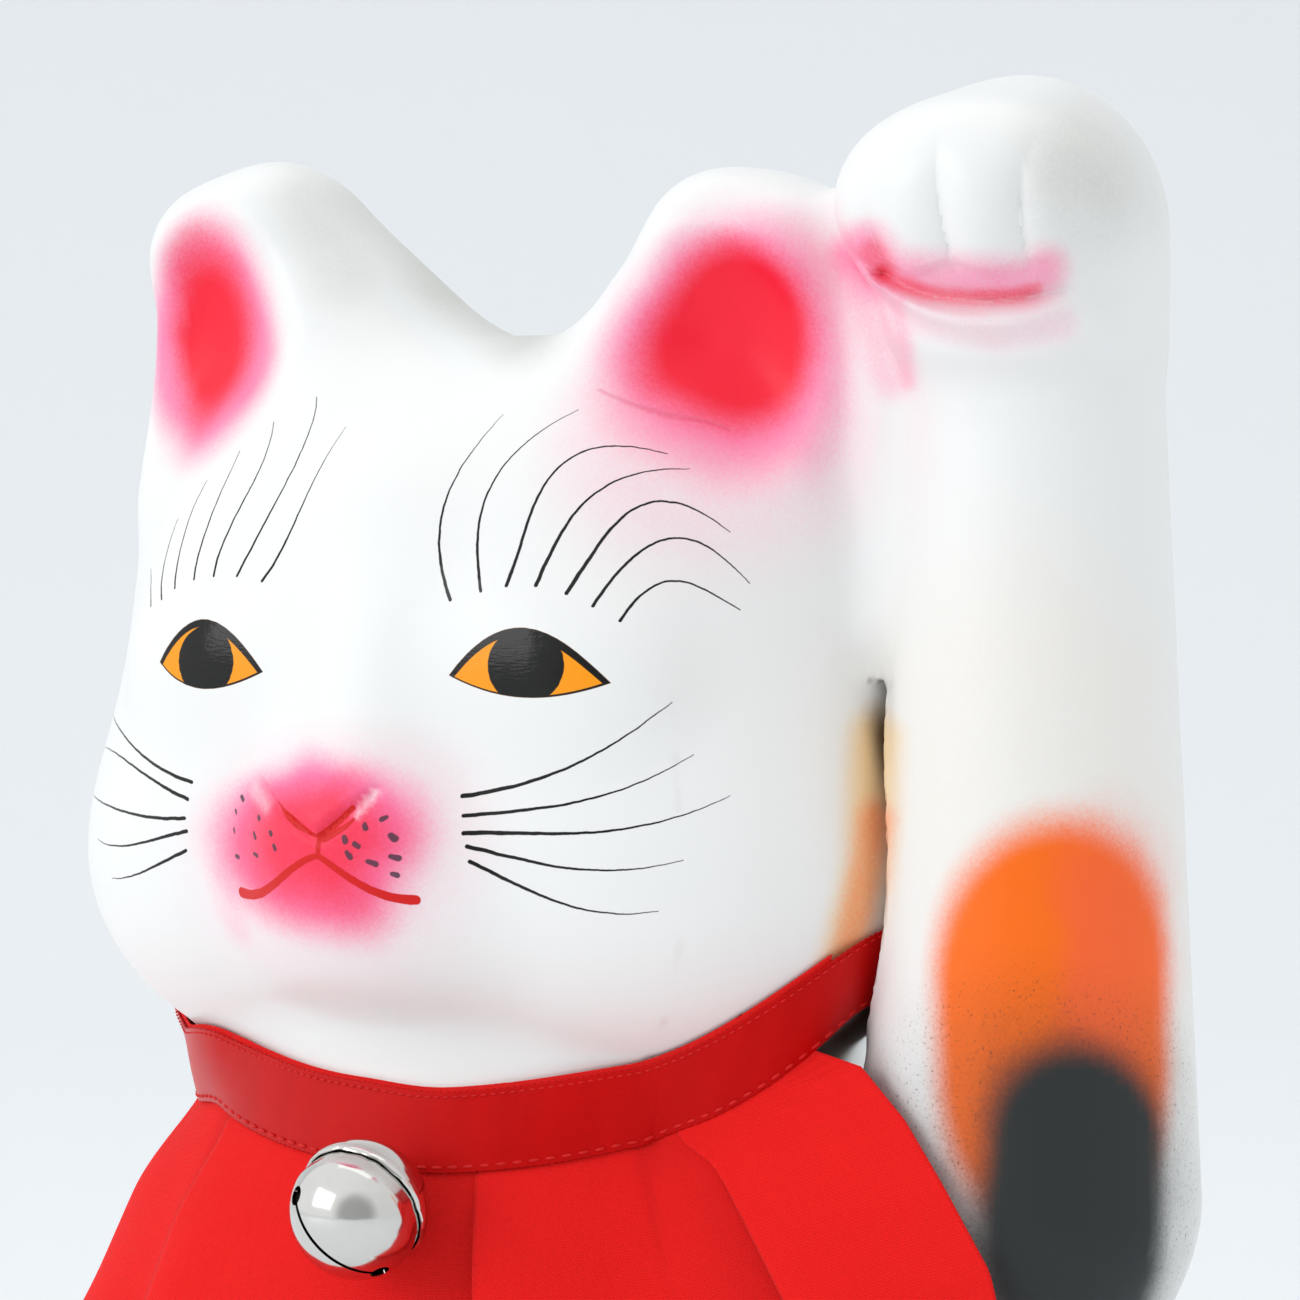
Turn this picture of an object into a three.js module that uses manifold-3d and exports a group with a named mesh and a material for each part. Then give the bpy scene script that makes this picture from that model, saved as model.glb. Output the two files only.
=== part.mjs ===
// A seated ceramic maneki-neko with a raised left arm, a satin neck ribbon, a pleated cotton bib
// and a pressed metal jingle bell. Millimetres, +Z up, the cat looks along -Y and stands on Z = 0.
// X grows towards the cat's own left, the side of the raised arm.

import * as THREE from 'three';
import { mergeVertices } from 'three/addons/utils/BufferGeometryUtils.js';
import Module from 'manifold-3d';

const wasm = await Module();
wasm.setup();

const DEGREE = Math.PI / 180;

// Heights that the rest hangs on
const eyeHeight = 298;
const neckAxisY = 4;

// The forms of the head, each place counted from the point midway between the eyes' height
// and the head's own axis. The sizes are half sizes.
const skull = { at: [0, 3, -6], size: [77, 60, 62] };
const crown = { at: [30, 2, 12], size: [44, 50, 43] };
const cheek = { at: [31, -4, -38], size: [56, 51, 42] };
const muzzle = { at: [0, -44, -41], size: [26, 21, 19] };
const eyelid = { at: [33, -42, -1], size: [21, 11, 14] };
const noseBridge = { from: [0, -38, 20], to: [0, -53.5, -26], thick: [10, 10] };
const creaseOfNose = { at: [11.5, -66, -27], size: [1.3, 5, 8.5], tilt: 12, roll: 40 };
const midlineSoftness = 12;

// One ear, on the side where X is positive. The cat's left ear sits a little lower.
const earInnerRim = { from: [21, -17, 42], to: [48, -12, 76.5], thick: [11, 12.5] };
const earTopRim = { from: [48, -12, 76.5], to: [59, -12, 73], thick: [12.5, 13] };
const earOuterRim = { from: [59, -12, 73], to: [61, -15, 30], thick: [13, 11] };
const earBack = { from: [41, 12, 28], to: [53, 4, 73], thick: [39, 16] };
const earDish = { at: [53, -30, 54], size: [19.5, 11, 24], tilt: -6, turn: 24 };
const leftEarDrop = 4.5;

// The raised arm, counted from eye height as well
const raisedArm = { from: [104, -3, -92], to: [106, -5, 50], thick: [29.6, 21.3] };
const backOfPaw = { at: [105, -9, 73], size: [24.5, 25, 27] };
const fist = { at: [106, -26, 77], size: [26, 22, 18], tilt: -20 };
const palm = { at: [107, -20, 57], size: [21, 15, 8] };
const fingerGroove = { size: [1.6, 6, 15], tilt: -20 };
const fingerGroovePlaces = [[94.5, -48, 71], [108, -48, 71], [121, -48, 71]];
const fingertipCrease = { at: [107, -42, 60.5], size: [24, 12, 1.5] };
const cheekSoftness = 7;
const cheekFoot = 212;
const flankSoftness = 44;
const flankTop = 140;
const webToEar = { from: [84, -4, 10], to: [80, -4, 74], thick: [13, 13] };

// The body, counted from the ground
const neck = { at: [0, 7, 224], size: [61, 52, 48] };
const chest = { at: [0, 4, 150], size: [82, 68, 84] };
const belly = { at: [0, 20, 66], size: [102, 94, 104] };
const shoulder = { at: [74, 2, 176], size: [42, 40, 40] };
const foreleg = { from: [-56, -20, 150], to: [-50, -62, 60], thick: [26, 21] };
const forepaw = { from: [-50, -62, 60], to: [-48, -78, 16], thick: [21, 19] };
const haunch = { at: [76, 16, 50], size: [40, 64, 58] };
const hindPaw = { at: [84, -54, 12], size: [21, 38, 18] };
const tail = { at: [26, 110, 34], size: [32, 18, 20] };
const toeGroove = { size: [1.3, 6, 9] };
const forepawToes = [[-54.5, -97, 15], [-43.5, -97, 15]];
const hindPawToes = [[77, -90, 12], [90, -89, 12]];

// The knife cut that parts the cheek from the raised arm, from the armpit up to the web
const slotWidthAtWeb = 1.8;
const slotWidthAtRibbon = 3.6;
const slotOffCheek = 0.35;
const slotFrom = 46;
const slotTo = 126;
const slotLow = 224;
const slotHigh = eyeHeight - 3;

// Cells of the clay's surface: places along each axis with the cell size that starts there
const cellsX = [[-142, 15], [-86, 9.5], [-27, 8], [33, 9], [79, 9], [146, 9]];
const cellsY = [[-108, 10], [-54, 8.5], [-30, 10], [17, 16], [143, 16]];
const cellsZ = [[-30, 18], [180, 12], [235, 9], [413, 9]];
const footDepth = 8;

// Ribbon, bib and bell
const ribbonHeight = 13.6;
const ribbonThickness = 1;
const ribbonTopFront = 222.5;
const ribbonRiseToBack = 18;
const ribbonLiftInSlot = 17;
const clothGap = 0.35;
const clothBridge = 24;
const glazeGap = 0.8;
const bibThickness = 0.8;
const bibStandsAboveRibbon = 0.6;
const bibFlare = 2.2;
const bibFrom = -104;
const bibTo = 68;
const bibDrop = 66;
const bibPleats = [-72, -40, 21, 54];
const pleatDepth = 2.2;
const pleatLean = 5;

const bellCentre = [8.2, -67.6, 205.2];
const bellRadius = 11.8;
const bellWall = 0.6;
const bellDroop = 26.5;
const bellTwist = 48.7;
const bellHoleAngle = 55;
const bellHoleRadius = 1.7;
const bellSlitWidth = 0.8;
const bellFlangeRadius = 12.3;
const bellFlangeBehind = 2.3;
const bellFlangeWidth = 1.5;
const bellFacets = 16;
const bellLoopRadius = 1.5;
const bellLoopWire = 0.45;

// Distances to the forms. Each returns a function of a point, negative inside the form.

function egg({ at, size, tilt = 0, turn = 0, roll = 0 }) {
  const frame = new THREE.Matrix4().makeRotationFromEuler(
    new THREE.Euler(tilt * DEGREE, roll * DEGREE, turn * DEGREE, 'ZYX'));
  const m = frame.elements;
  const [a, b, c] = size;
  return (x, y, z) => {
    const px = x - at[0];
    const py = y - at[1];
    const pz = z - at[2];
    const u = (m[0] * px + m[1] * py + m[2] * pz) / a;
    const v = (m[4] * px + m[5] * py + m[6] * pz) / b;
    const w = (m[8] * px + m[9] * py + m[10] * pz) / c;
    const reach = Math.hypot(u, v, w);
    const slope = Math.hypot(u / a, v / b, w / c) + 1e-9;
    return reach * (reach - 1) / slope;
  };
}

function limb({ from, to, thick }) {
  const [r1, r2] = thick;
  const ax = to[0] - from[0];
  const ay = to[1] - from[1];
  const az = to[2] - from[2];
  const long = ax * ax + ay * ay + az * az;
  const taper = r1 - r2;
  const side = long - taper * taper;
  return (x, y, z) => {
    const px = x - from[0];
    const py = y - from[1];
    const pz = z - from[2];
    const along = px * ax + py * ay + pz * az;
    const past = along - long;
    const qx = px * long - ax * along;
    const qy = py * long - ay * along;
    const qz = pz * long - az * along;
    const out = qx * qx + qy * qy + qz * qz;
    const alongPart = along * along * long;
    const pastPart = past * past * long;
    const cone = Math.sign(taper) * taper * taper * out;
    if (Math.sign(past) * side * pastPart > cone) return Math.sqrt(out + pastPart) / long - r2;
    if (Math.sign(along) * side * alongPart < cone) return Math.sqrt(out + alongPart) / long - r1;
    return (Math.sqrt(out * side / long) + along * taper) / long - r1;
  };
}

function blend(a, b, reach) {
  const h = Math.max(reach - Math.abs(a - b), 0) / reach;
  return Math.min(a, b) - h * h * reach / 4;
}

function carve(solid, tool, reach) {
  return -blend(-solid, tool, reach);
}

const form = {
  skull: egg(skull),
  crown: egg(crown),
  cheek: egg(cheek),
  muzzle: egg(muzzle),
  eyelid: egg(eyelid),
  noseBridge: limb(noseBridge),
  earInnerRim: limb(earInnerRim),
  earTopRim: limb(earTopRim),
  earOuterRim: limb(earOuterRim),
  earBack: limb(earBack),
  earDish: egg(earDish),
  raisedArm: limb(raisedArm),
  backOfPaw: egg(backOfPaw),
  fist: egg(fist),
  palm: egg(palm),
  webToEar: limb(webToEar),
  neck: egg(neck),
  chest: egg(chest),
  belly: egg(belly),
  shoulder: egg(shoulder),
  foreleg: limb(foreleg),
  forepaw: limb(forepaw),
  haunch: egg(haunch),
  hindPaw: egg(hindPaw),
  tail: egg(tail),
};

function earDepth(x, y, z) {
  const rims = blend(form.earInnerRim(x, y, z), form.earOuterRim(x, y, z), 5);
  const hoop = blend(rims, form.earTopRim(x, y, z), 5);
  const ear = blend(hoop, form.earBack(x, y, z), 14);
  return carve(ear, form.earDish(x, y, z), 7);
}

function headDepth(x, y, height) {
  const z = height - eyeHeight;
  const aside = Math.hypot(x, midlineSoftness);
  let head = blend(form.skull(x, y, z), form.crown(aside, y, z), 16);
  head = blend(head, form.cheek(aside, y, z), 20);
  head = blend(head, form.muzzle(x, y, z), 14);
  head = blend(head, form.noseBridge(x, y, z), 18);
  head = blend(head, form.eyelid(Math.abs(x), y, z), 12);
  const ears = Math.min(earDepth(x, y, z + leftEarDrop), earDepth(-x, y, z));
  return blend(head, ears, 10);
}

function bodyDepth(x, y, z) {
  const aside = Math.abs(x);
  let body = blend(form.neck(x, y, z), form.chest(x, y, z), 26);
  body = blend(body, form.belly(x, y, z), 50);
  body = blend(body, blend(form.foreleg(x, y, z), form.forepaw(x, y, z), 8), 16);
  body = blend(body, form.haunch(aside, y, z), 22);
  body = blend(body, form.hindPaw(aside, y, z), 22);
  return blend(body, form.tail(x, y, z), 18);
}

function torsoDepth(x, y, z) {
  return blend(headDepth(x, y, z), bodyDepth(x, y, z), 8);
}

function armDepth(x, y, height) {
  const z = height - eyeHeight;
  let arm = blend(form.raisedArm(x, y, z), form.backOfPaw(x, y, z), 12);
  arm = blend(arm, form.fist(x, y, z), 9);
  arm = blend(arm, form.palm(x, y, z), 5);
  return blend(arm, form.shoulder(x, y, height), 20);
}

// The arm flows into the flank and is parted from the cheek by a narrow hollow
function flankReach(z) {
  return THREE.MathUtils.lerp(flankSoftness, cheekSoftness, THREE.MathUtils.smoothstep(z, flankTop, cheekFoot));
}

function clayDepth(x, y, z) {
  const arm = blend(armDepth(x, y, z), form.webToEar(x, y, z - eyeHeight), 4);
  return blend(torsoDepth(x, y, z), arm, flankReach(z));
}

// The cloth bridges the hollow between chest and shoulder
function drapeDepth(x, y, z) {
  return blend(torsoDepth(x, y, z), armDepth(x, y, z), Math.max(clothBridge, flankReach(z)));
}

// Surface of a form, one point per cell that it passes through

function spread(stretches) {
  const places = [];
  for (let s = 0; s + 1 < stretches.length; s += 1) {
    const [start, cell] = stretches[s];
    const end = stretches[s + 1][0];
    const count = Math.max(1, Math.round((end - start) / cell));
    for (let n = 0; n < count; n += 1) places.push(start + (end - start) * n / count);
  }
  places.push(stretches.at(-1)[0]);
  return places;
}

function settle(depth, point, limit) {
  const step = 0.05;
  const start = point.clone();
  for (let n = 0; n < 4; n += 1) {
    const { x, y, z } = point;
    const slope = new THREE.Vector3(
      depth(x + step, y, z) - depth(x - step, y, z),
      depth(x, y + step, z) - depth(x, y - step, z),
      depth(x, y, z + step) - depth(x, y, z - step)).divideScalar(2 * step);
    point.addScaledVector(slope, -depth(x, y, z) / Math.max(slope.lengthSq(), 0.1));
  }
  const moved = point.distanceTo(start);
  if (moved > limit) point.lerpVectors(start, point.clone(), limit / moved);
  return point;
}

function skin(depth, xs, ys, zs) {
  const across = xs.length;
  const slab = across * ys.length;
  const value = new Float64Array(slab * zs.length);
  zs.forEach((z, k) => ys.forEach((y, j) => xs.forEach((x, i) => {
    value[k * slab + j * across + i] = depth(x, y, z);
  })));
  const strides = [1, across, slab];
  const axes = [xs, ys, zs];
  const vertexOf = new Map();
  const points = [];

  const corner = (place) => new THREE.Vector3(
    xs[place % across], ys[Math.floor(place / across) % ys.length], zs[Math.floor(place / slab)]);

  const cellVertex = (cell) => {
    if (vertexOf.has(cell)) return vertexOf.get(cell);
    const sum = new THREE.Vector3();
    let crossings = 0;
    for (let axis = 0; axis < 3; axis += 1) {
      const [other, third] = strides.filter((_, n) => n !== axis);
      for (const shift of [0, other, third, other + third]) {
        const a = value[cell + shift];
        const b = value[cell + shift + strides[axis]];
        if ((a < 0) === (b < 0)) continue;
        sum.add(corner(cell + shift).lerp(corner(cell + shift + strides[axis]), a / (a - b)));
        crossings += 1;
      }
    }
    const point = settle(depth, sum.divideScalar(crossings), 3);
    points.push(point);
    vertexOf.set(cell, points.length - 1);
    return points.length - 1;
  };

  const faces = [];
  for (let axis = 0; axis < 3; axis += 1) {
    const u = (axis + 1) % 3;
    const v = (axis + 2) % 3;
    for (let k = 1; k + 1 < zs.length; k += 1) {
      for (let j = 1; j + 1 < ys.length; j += 1) {
        for (let i = 1; i + 1 < xs.length; i += 1) {
          const place = k * slab + j * across + i;
          const here = value[place] < 0;
          if (here === value[place + strides[axis]] < 0) continue;
          const ring = [0, strides[u], strides[u] + strides[v], strides[v]];
          const quad = ring.map((back) => cellVertex(place - back));
          if (!here) quad.reverse();
          const [a, b, c, d] = quad;
          const short = points[a].distanceTo(points[c]) < points[b].distanceTo(points[d]);
          if (short) faces.push(a, b, c, a, c, d);
          else faces.push(a, b, d, b, c, d);
        }
      }
    }
  }
  return meshOf(points, faces);
}

function meshOf(points, faces) {
  const geometry = new THREE.BufferGeometry();
  geometry.setAttribute('position', new THREE.Float32BufferAttribute(points.flatMap((p) => p.toArray()), 3));
  geometry.setIndex(faces);
  return geometry;
}

// Joining and cutting

function solid(geometry) {
  const bare = geometry.clone();
  for (const name of Object.keys(bare.attributes)) {
    if (name !== 'position') bare.deleteAttribute(name);
  }
  const merged = mergeVertices(bare, 1e-4);
  return new wasm.Manifold(new wasm.Mesh({
    numProp: 3,
    vertProperties: new Float32Array(merged.attributes.position.array),
    triVerts: new Uint32Array(merged.index.array),
  }));
}

function geometryOf(body) {
  const mesh = body.getMesh();
  const geometry = new THREE.BufferGeometry();
  geometry.setAttribute('position', new THREE.BufferAttribute(mesh.vertProperties, 3));
  geometry.setIndex(new THREE.BufferAttribute(mesh.triVerts, 1));
  geometry.computeVertexNormals();
  return geometry;
}

// A flattened egg that cuts a groove
function grooveTool({ at, size, tilt = 0, turn = 0, roll = 0 }, lift = 0) {
  const tool = new THREE.SphereGeometry(1, 8, 6);
  tool.rotateX(Math.PI / 2);
  tool.scale(...size);
  tool.applyMatrix4(new THREE.Matrix4().makeRotationFromEuler(
    new THREE.Euler(tilt * DEGREE, roll * DEGREE, turn * DEGREE, 'ZYX')));
  tool.translate(at[0], at[1], at[2] + lift);
  return solid(tool);
}

// A point out from the neck's upright axis, at an angle counted from the front towards the cat's left
function around(angle, radius, z) {
  return new THREE.Vector3(
    radius * Math.sin(angle * DEGREE), neckAxisY - radius * Math.cos(angle * DEGREE), z);
}

// How far out from the neck's axis a form's surface lies, moved out by a gap
function reachOf(depth, angle, z, gap) {
  let inner = 30;
  let outer = inner;
  const clear = (radius) => depth(...around(angle, radius, z).toArray()) > gap;
  while (!clear(outer)) {
    inner = outer;
    outer += 2;
  }
  for (let n = 0; n < 14; n += 1) {
    const middle = (inner + outer) / 2;
    if (clear(middle)) outer = middle;
    else inner = middle;
  }
  return outer;
}

// A closed shell between two surfaces that share rows and columns of points
function shell(innerRows, outerRows, ring) {
  const rows = innerRows.length;
  const columns = innerRows[0].length;
  const points = [...innerRows.flat(), ...outerRows.flat()];
  const inner = (row, column) => row * columns + column % columns;
  const outer = (row, column) => rows * columns + inner(row, column);
  const faces = [];
  const patch = (a, b, c, d) => faces.push(a, b, c, a, c, d);
  const last = ring ? columns : columns - 1;
  for (let column = 0; column < last; column += 1) {
    for (let row = 0; row + 1 < rows; row += 1) {
      patch(outer(row, column), outer(row + 1, column), outer(row + 1, column + 1), outer(row, column + 1));
      patch(inner(row, column), inner(row, column + 1), inner(row + 1, column + 1), inner(row + 1, column));
    }
    patch(inner(0, column), outer(0, column), outer(0, column + 1), inner(0, column + 1));
    patch(outer(rows - 1, column), inner(rows - 1, column), inner(rows - 1, column + 1), outer(rows - 1, column + 1));
  }
  for (let row = 0; row + 1 < rows && !ring; row += 1) {
    patch(outer(row, 0), inner(row, 0), inner(row + 1, 0), outer(row + 1, 0));
    patch(inner(row, last), outer(row, last), outer(row + 1, last), inner(row + 1, last));
  }
  return meshOf(points, faces);
}

function steps(from, to, count) {
  return Array.from({ length: count + 1 }, (_, n) => from + (to - from) * n / count);
}

// The knife cut follows the cheek and opens towards the armpit
function slotTool() {
  const angles = steps(slotFrom, slotTo, 10);
  const heights = steps(slotHigh, slotLow, 7);
  const wallAt = (width) => heights.map((z, row) => angles.map((angle) => (
    around(angle, reachOf(torsoDepth, angle, z, width(row / (heights.length - 1))), z))));
  const open = (down) => THREE.MathUtils.lerp(slotWidthAtWeb, slotWidthAtRibbon, Math.min(1, 2 * down));
  return solid(shell(wallAt(() => slotOffCheek), wallAt(open), false));
}

// The ceramic figure
function makeCat() {
  const footed = (x, y, z) => Math.max(clayDepth(x, y, z), -footDepth - z);
  let cat = solid(skin(footed, spread(cellsX), spread(cellsY), spread(cellsZ)));

  const ground = new THREE.BoxGeometry(400, 400, 40);
  ground.translate(0, 0, -20);
  cat = cat.subtract(solid(ground));

  cat = cat.subtract(slotTool());

  for (const at of fingerGroovePlaces) cat = cat.subtract(grooveTool({ ...fingerGroove, at }, eyeHeight));
  cat = cat.subtract(grooveTool(fingertipCrease, eyeHeight));
  for (const side of [1, -1]) {
    const [x, y, z] = creaseOfNose.at;
    const crease = { ...creaseOfNose, at: [side * x, y, z], roll: side * creaseOfNose.roll };
    cat = cat.subtract(grooveTool(crease, eyeHeight));
    for (const [toeX, toeY, toeZ] of hindPawToes) {
      cat = cat.subtract(grooveTool({ ...toeGroove, at: [side * toeX, toeY, toeZ] }));
    }
  }
  for (const at of forepawToes) cat = cat.subtract(grooveTool({ ...toeGroove, at }));
  return geometryOf(cat);
}

// The ribbon's path: low under the chin, higher at the back, lifted where it runs through the slot

function ribbonTop(angle) {
  const climb = THREE.MathUtils.smoothstep(angle, 50, 76) * (1 - THREE.MathUtils.smoothstep(angle, 110, 160));
  return ribbonTopFront + ribbonRiseToBack * (1 - Math.cos(Math.min(Math.abs(angle), 95) * DEGREE))
    + ribbonLiftInSlot * climb;
}

// The ribbon lies on the bib's top strip in front and on the bare glaze behind
function ribbonStandOff(angle) {
  const past = Math.max(bibFrom - angle, angle - bibTo, 0);
  const bare = THREE.MathUtils.smoothstep(past, 0, 7);
  return glazeGap + (clothGap + bibThickness) * (1 - bare);
}

// The ribbon is straight from its top edge to its bottom edge and clears every bulge between them
function ribbonLine(angle, down, outward) {
  const top = ribbonTop(angle);
  const reaches = steps(0, 1, 6).map((share) => (
    reachOf(torsoDepth, angle, top - ribbonHeight * share, ribbonStandOff(angle))));
  const straight = (share) => THREE.MathUtils.lerp(reaches[0], reaches.at(-1), share);
  const bulge = Math.max(...reaches.map((reach, n) => reach - straight(n / 6)));
  return around(angle, straight(down) + bulge + outward, top - ribbonHeight * down);
}

const foldAngles = bibPleats.flatMap((edge) => [edge - 0.6, edge + 0.6]);
const frontAngles = [
  ...steps(bibFrom, bibTo, 28).filter((angle) => bibPleats.every((edge) => Math.abs(angle - edge) > 1.2)),
  ...foldAngles,
].sort((a, b) => a - b);
const backAngles = steps(bibTo, bibFrom + 360, 26).slice(1, -1).map((angle) => angle - 360 * (angle > 180));

function makeRibbon() {
  const angles = [...frontAngles, ...backAngles];
  const downs = [0, 1];
  const inner = downs.map((down) => angles.map((angle) => ribbonLine(angle, down, 0)));
  const outer = downs.map((down) => angles.map((angle) => ribbonLine(angle, down, ribbonThickness)));
  return shell(inner, outer, true);
}

// How far a pleat lifts the cloth: highest at a fold's edge, sinking away to the next fold
function pleatLift(angle, down) {
  const lean = pleatLean * down;
  const edges = [bibFrom - 30, ...bibPleats.map((edge) => edge + lean), bibTo + 30];
  const past = edges.findLastIndex((edge) => angle >= edge);
  const share = (angle - edges[past]) / (edges[past + 1] - edges[past]);
  return pleatDepth * (1 - share);
}

function makeBib() {
  const strip = [-bibStandsAboveRibbon / ribbonHeight, 1];
  const skirt = steps(0, 1, 4).slice(1);

  const rowOf = (place, outward) => frontAngles.map((column) => {
    const inward = clothGap + bibThickness;
    if (place <= 1) return ribbonLine(column, place, outward - inward);
    const down = place - 1;
    const angle = column + pleatLean * down * (bibPleats.some((edge) => Math.abs(column - edge) < 1) ? 1 : 0);
    const start = ribbonLine(column, 1, 0);
    const z = start.z - bibDrop * down;
    const gap = glazeGap + bibFlare * down + pleatLift(angle, down) * Math.min(1, 4 * down);
    const hang = reachOf(drapeDepth, angle, z, gap);
    return around(angle, hang + outward, z);
  });
  const places = [...strip, ...skirt.map((down) => 1 + down)];
  const inner = places.map((place) => rowOf(place, 0));
  const outer = places.map((place) => rowOf(place, bibThickness));
  return shell(inner, outer, false);
}

// The bell stands upright about Z while it is made, its slit side down

function arc(radius, from, to, count, rise = 0) {
  return steps(from, to, count).map((angle) => (
    new THREE.Vector2(radius * Math.sin(angle * DEGREE), rise - radius * Math.cos(angle * DEGREE))));
}

function lathe(profile, segments) {
  const geometry = new THREE.LatheGeometry(profile, segments);
  geometry.rotateX(Math.PI / 2);
  return geometry;
}

function placeBell(geometry) {
  geometry.rotateZ(bellTwist * DEGREE);
  geometry.rotateX(-(90 - bellDroop) * DEGREE);
  geometry.translate(...bellCentre);
  return geometry;
}

function makeBellFront() {
  const lip = 90 + 6;
  const outside = arc(bellRadius, 0, lip, 5);
  const inside = arc(bellRadius - bellWall, lip, 0, 5);
  outside[0].x = 0;
  inside.at(-1).x = 0;
  let cup = solid(lathe([...outside, ...inside], bellFacets));
  const slit = new THREE.BoxGeometry(
    2 * bellRadius * Math.sin(bellHoleAngle * DEGREE), bellSlitWidth, bellRadius);
  slit.translate(0, 0, -bellRadius);
  cup = cup.subtract(solid(slit));
  for (const side of [1, -1]) {
    const hole = new THREE.CylinderGeometry(bellHoleRadius, bellHoleRadius, 6, 12);
    hole.rotateX(Math.PI / 2);
    hole.translate(0, 0, -bellRadius);
    hole.rotateY(side * bellHoleAngle * DEGREE);
    cup = cup.subtract(solid(hole));
  }
  return placeBell(geometryOf(cup));
}

function makeBellBack() {
  const start = bellFlangeBehind - bellFlangeWidth / 2;
  const end = bellFlangeBehind + bellFlangeWidth / 2;
  const grip = bellRadius + 0.3;
  const rimOut = Math.sqrt(bellRadius ** 2 - end ** 2);
  const outside = arc(bellRadius, 90 + Math.asin(end / bellRadius) / DEGREE + 3, 180, 4);
  const inside = arc(bellRadius - bellWall, 180, 90 + Math.asin(end / bellRadius) / DEGREE + 3, 4);
  outside.at(-1).x = 0;
  inside[0].x = 0;
  const rim = [
    new THREE.Vector2(rimOut - bellWall, end),
    new THREE.Vector2(grip, end - 0.4),
    new THREE.Vector2(grip, start),
    new THREE.Vector2(bellFlangeRadius + 0.1, start),
    new THREE.Vector2(bellFlangeRadius + 0.3, bellFlangeBehind),
    new THREE.Vector2(bellFlangeRadius, end),
  ];
  const loop = new THREE.TorusGeometry(bellLoopRadius, bellLoopWire, 5, 10);
  loop.rotateX(Math.PI / 2);
  loop.rotateZ((90 - bellTwist) * DEGREE);
  loop.translate(0, 0, bellRadius + 0.6);
  const cup = solid(lathe([...inside, ...rim, ...outside], bellFacets));
  return placeBell(geometryOf(cup.add(solid(loop))));
}

// Materials

const glazedWhite = new THREE.MeshStandardMaterial({ color: 0xf4f3f0, roughness: 0.18, metalness: 0 });
const redSatin = new THREE.MeshStandardMaterial({ color: 0xc41616, roughness: 0.45, metalness: 0 });
const redCotton = new THREE.MeshStandardMaterial({ color: 0xe21b1f, roughness: 0.9, metalness: 0 });
const chrome = new THREE.MeshStandardMaterial({ color: 0xd9dad8, roughness: 0.08, metalness: 1 });

const figure = new THREE.Group();

function add(name, geometry, material) {
  const mesh = new THREE.Mesh(geometry, material);
  mesh.name = name;
  figure.add(mesh);
}

add('cat', makeCat(), glazedWhite);
add('ribbon', makeRibbon(), redSatin);
add('bib', makeBib(), redCotton);
add('bell_front_cup', makeBellFront(), chrome);
add('bell_back_cup', makeBellBack(), chrome);

export default figure;
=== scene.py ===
"""A glazed maneki-neko with its left paw raised, a satin neck ribbon, a pleated cotton bib and a jingle bell.

Lengths in this file are millimetres unless a name says otherwise; meshes are written in metres.
The cat looks along -Y and stands on Z = 0, with the raised arm on the side where X is positive.
"""

import itertools
import math

import bpy
import numpy as np
from mathutils import Euler, Matrix, Vector


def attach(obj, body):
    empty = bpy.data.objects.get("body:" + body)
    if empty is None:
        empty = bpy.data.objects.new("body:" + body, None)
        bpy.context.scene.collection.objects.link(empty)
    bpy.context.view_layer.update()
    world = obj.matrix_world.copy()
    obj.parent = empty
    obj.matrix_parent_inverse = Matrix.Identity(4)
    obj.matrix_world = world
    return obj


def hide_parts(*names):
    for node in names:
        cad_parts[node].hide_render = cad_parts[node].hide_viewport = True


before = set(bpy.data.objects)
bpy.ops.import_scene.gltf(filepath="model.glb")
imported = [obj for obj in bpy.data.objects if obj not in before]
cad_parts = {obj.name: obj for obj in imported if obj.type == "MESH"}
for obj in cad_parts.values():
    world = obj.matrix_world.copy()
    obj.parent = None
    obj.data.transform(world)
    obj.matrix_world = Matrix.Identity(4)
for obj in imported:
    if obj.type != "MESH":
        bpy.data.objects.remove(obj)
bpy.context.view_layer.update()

bl_info = {
    "name": "Maneki-neko figure",
    "version": (1, 0, 0),
    "blender": (4, 5, 0),
    "location": "View3D > Sidebar > Maneki-neko",
    "description": "Makes a glazed beckoning cat with its cloth collar, jingle bell and a plain stage",
    "category": "Add Mesh",
}

MM = 0.001
EYE_HEIGHT = 298.0
NECK_AXIS_Y = 4.0


# Sizes and colours that a user would change

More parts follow.
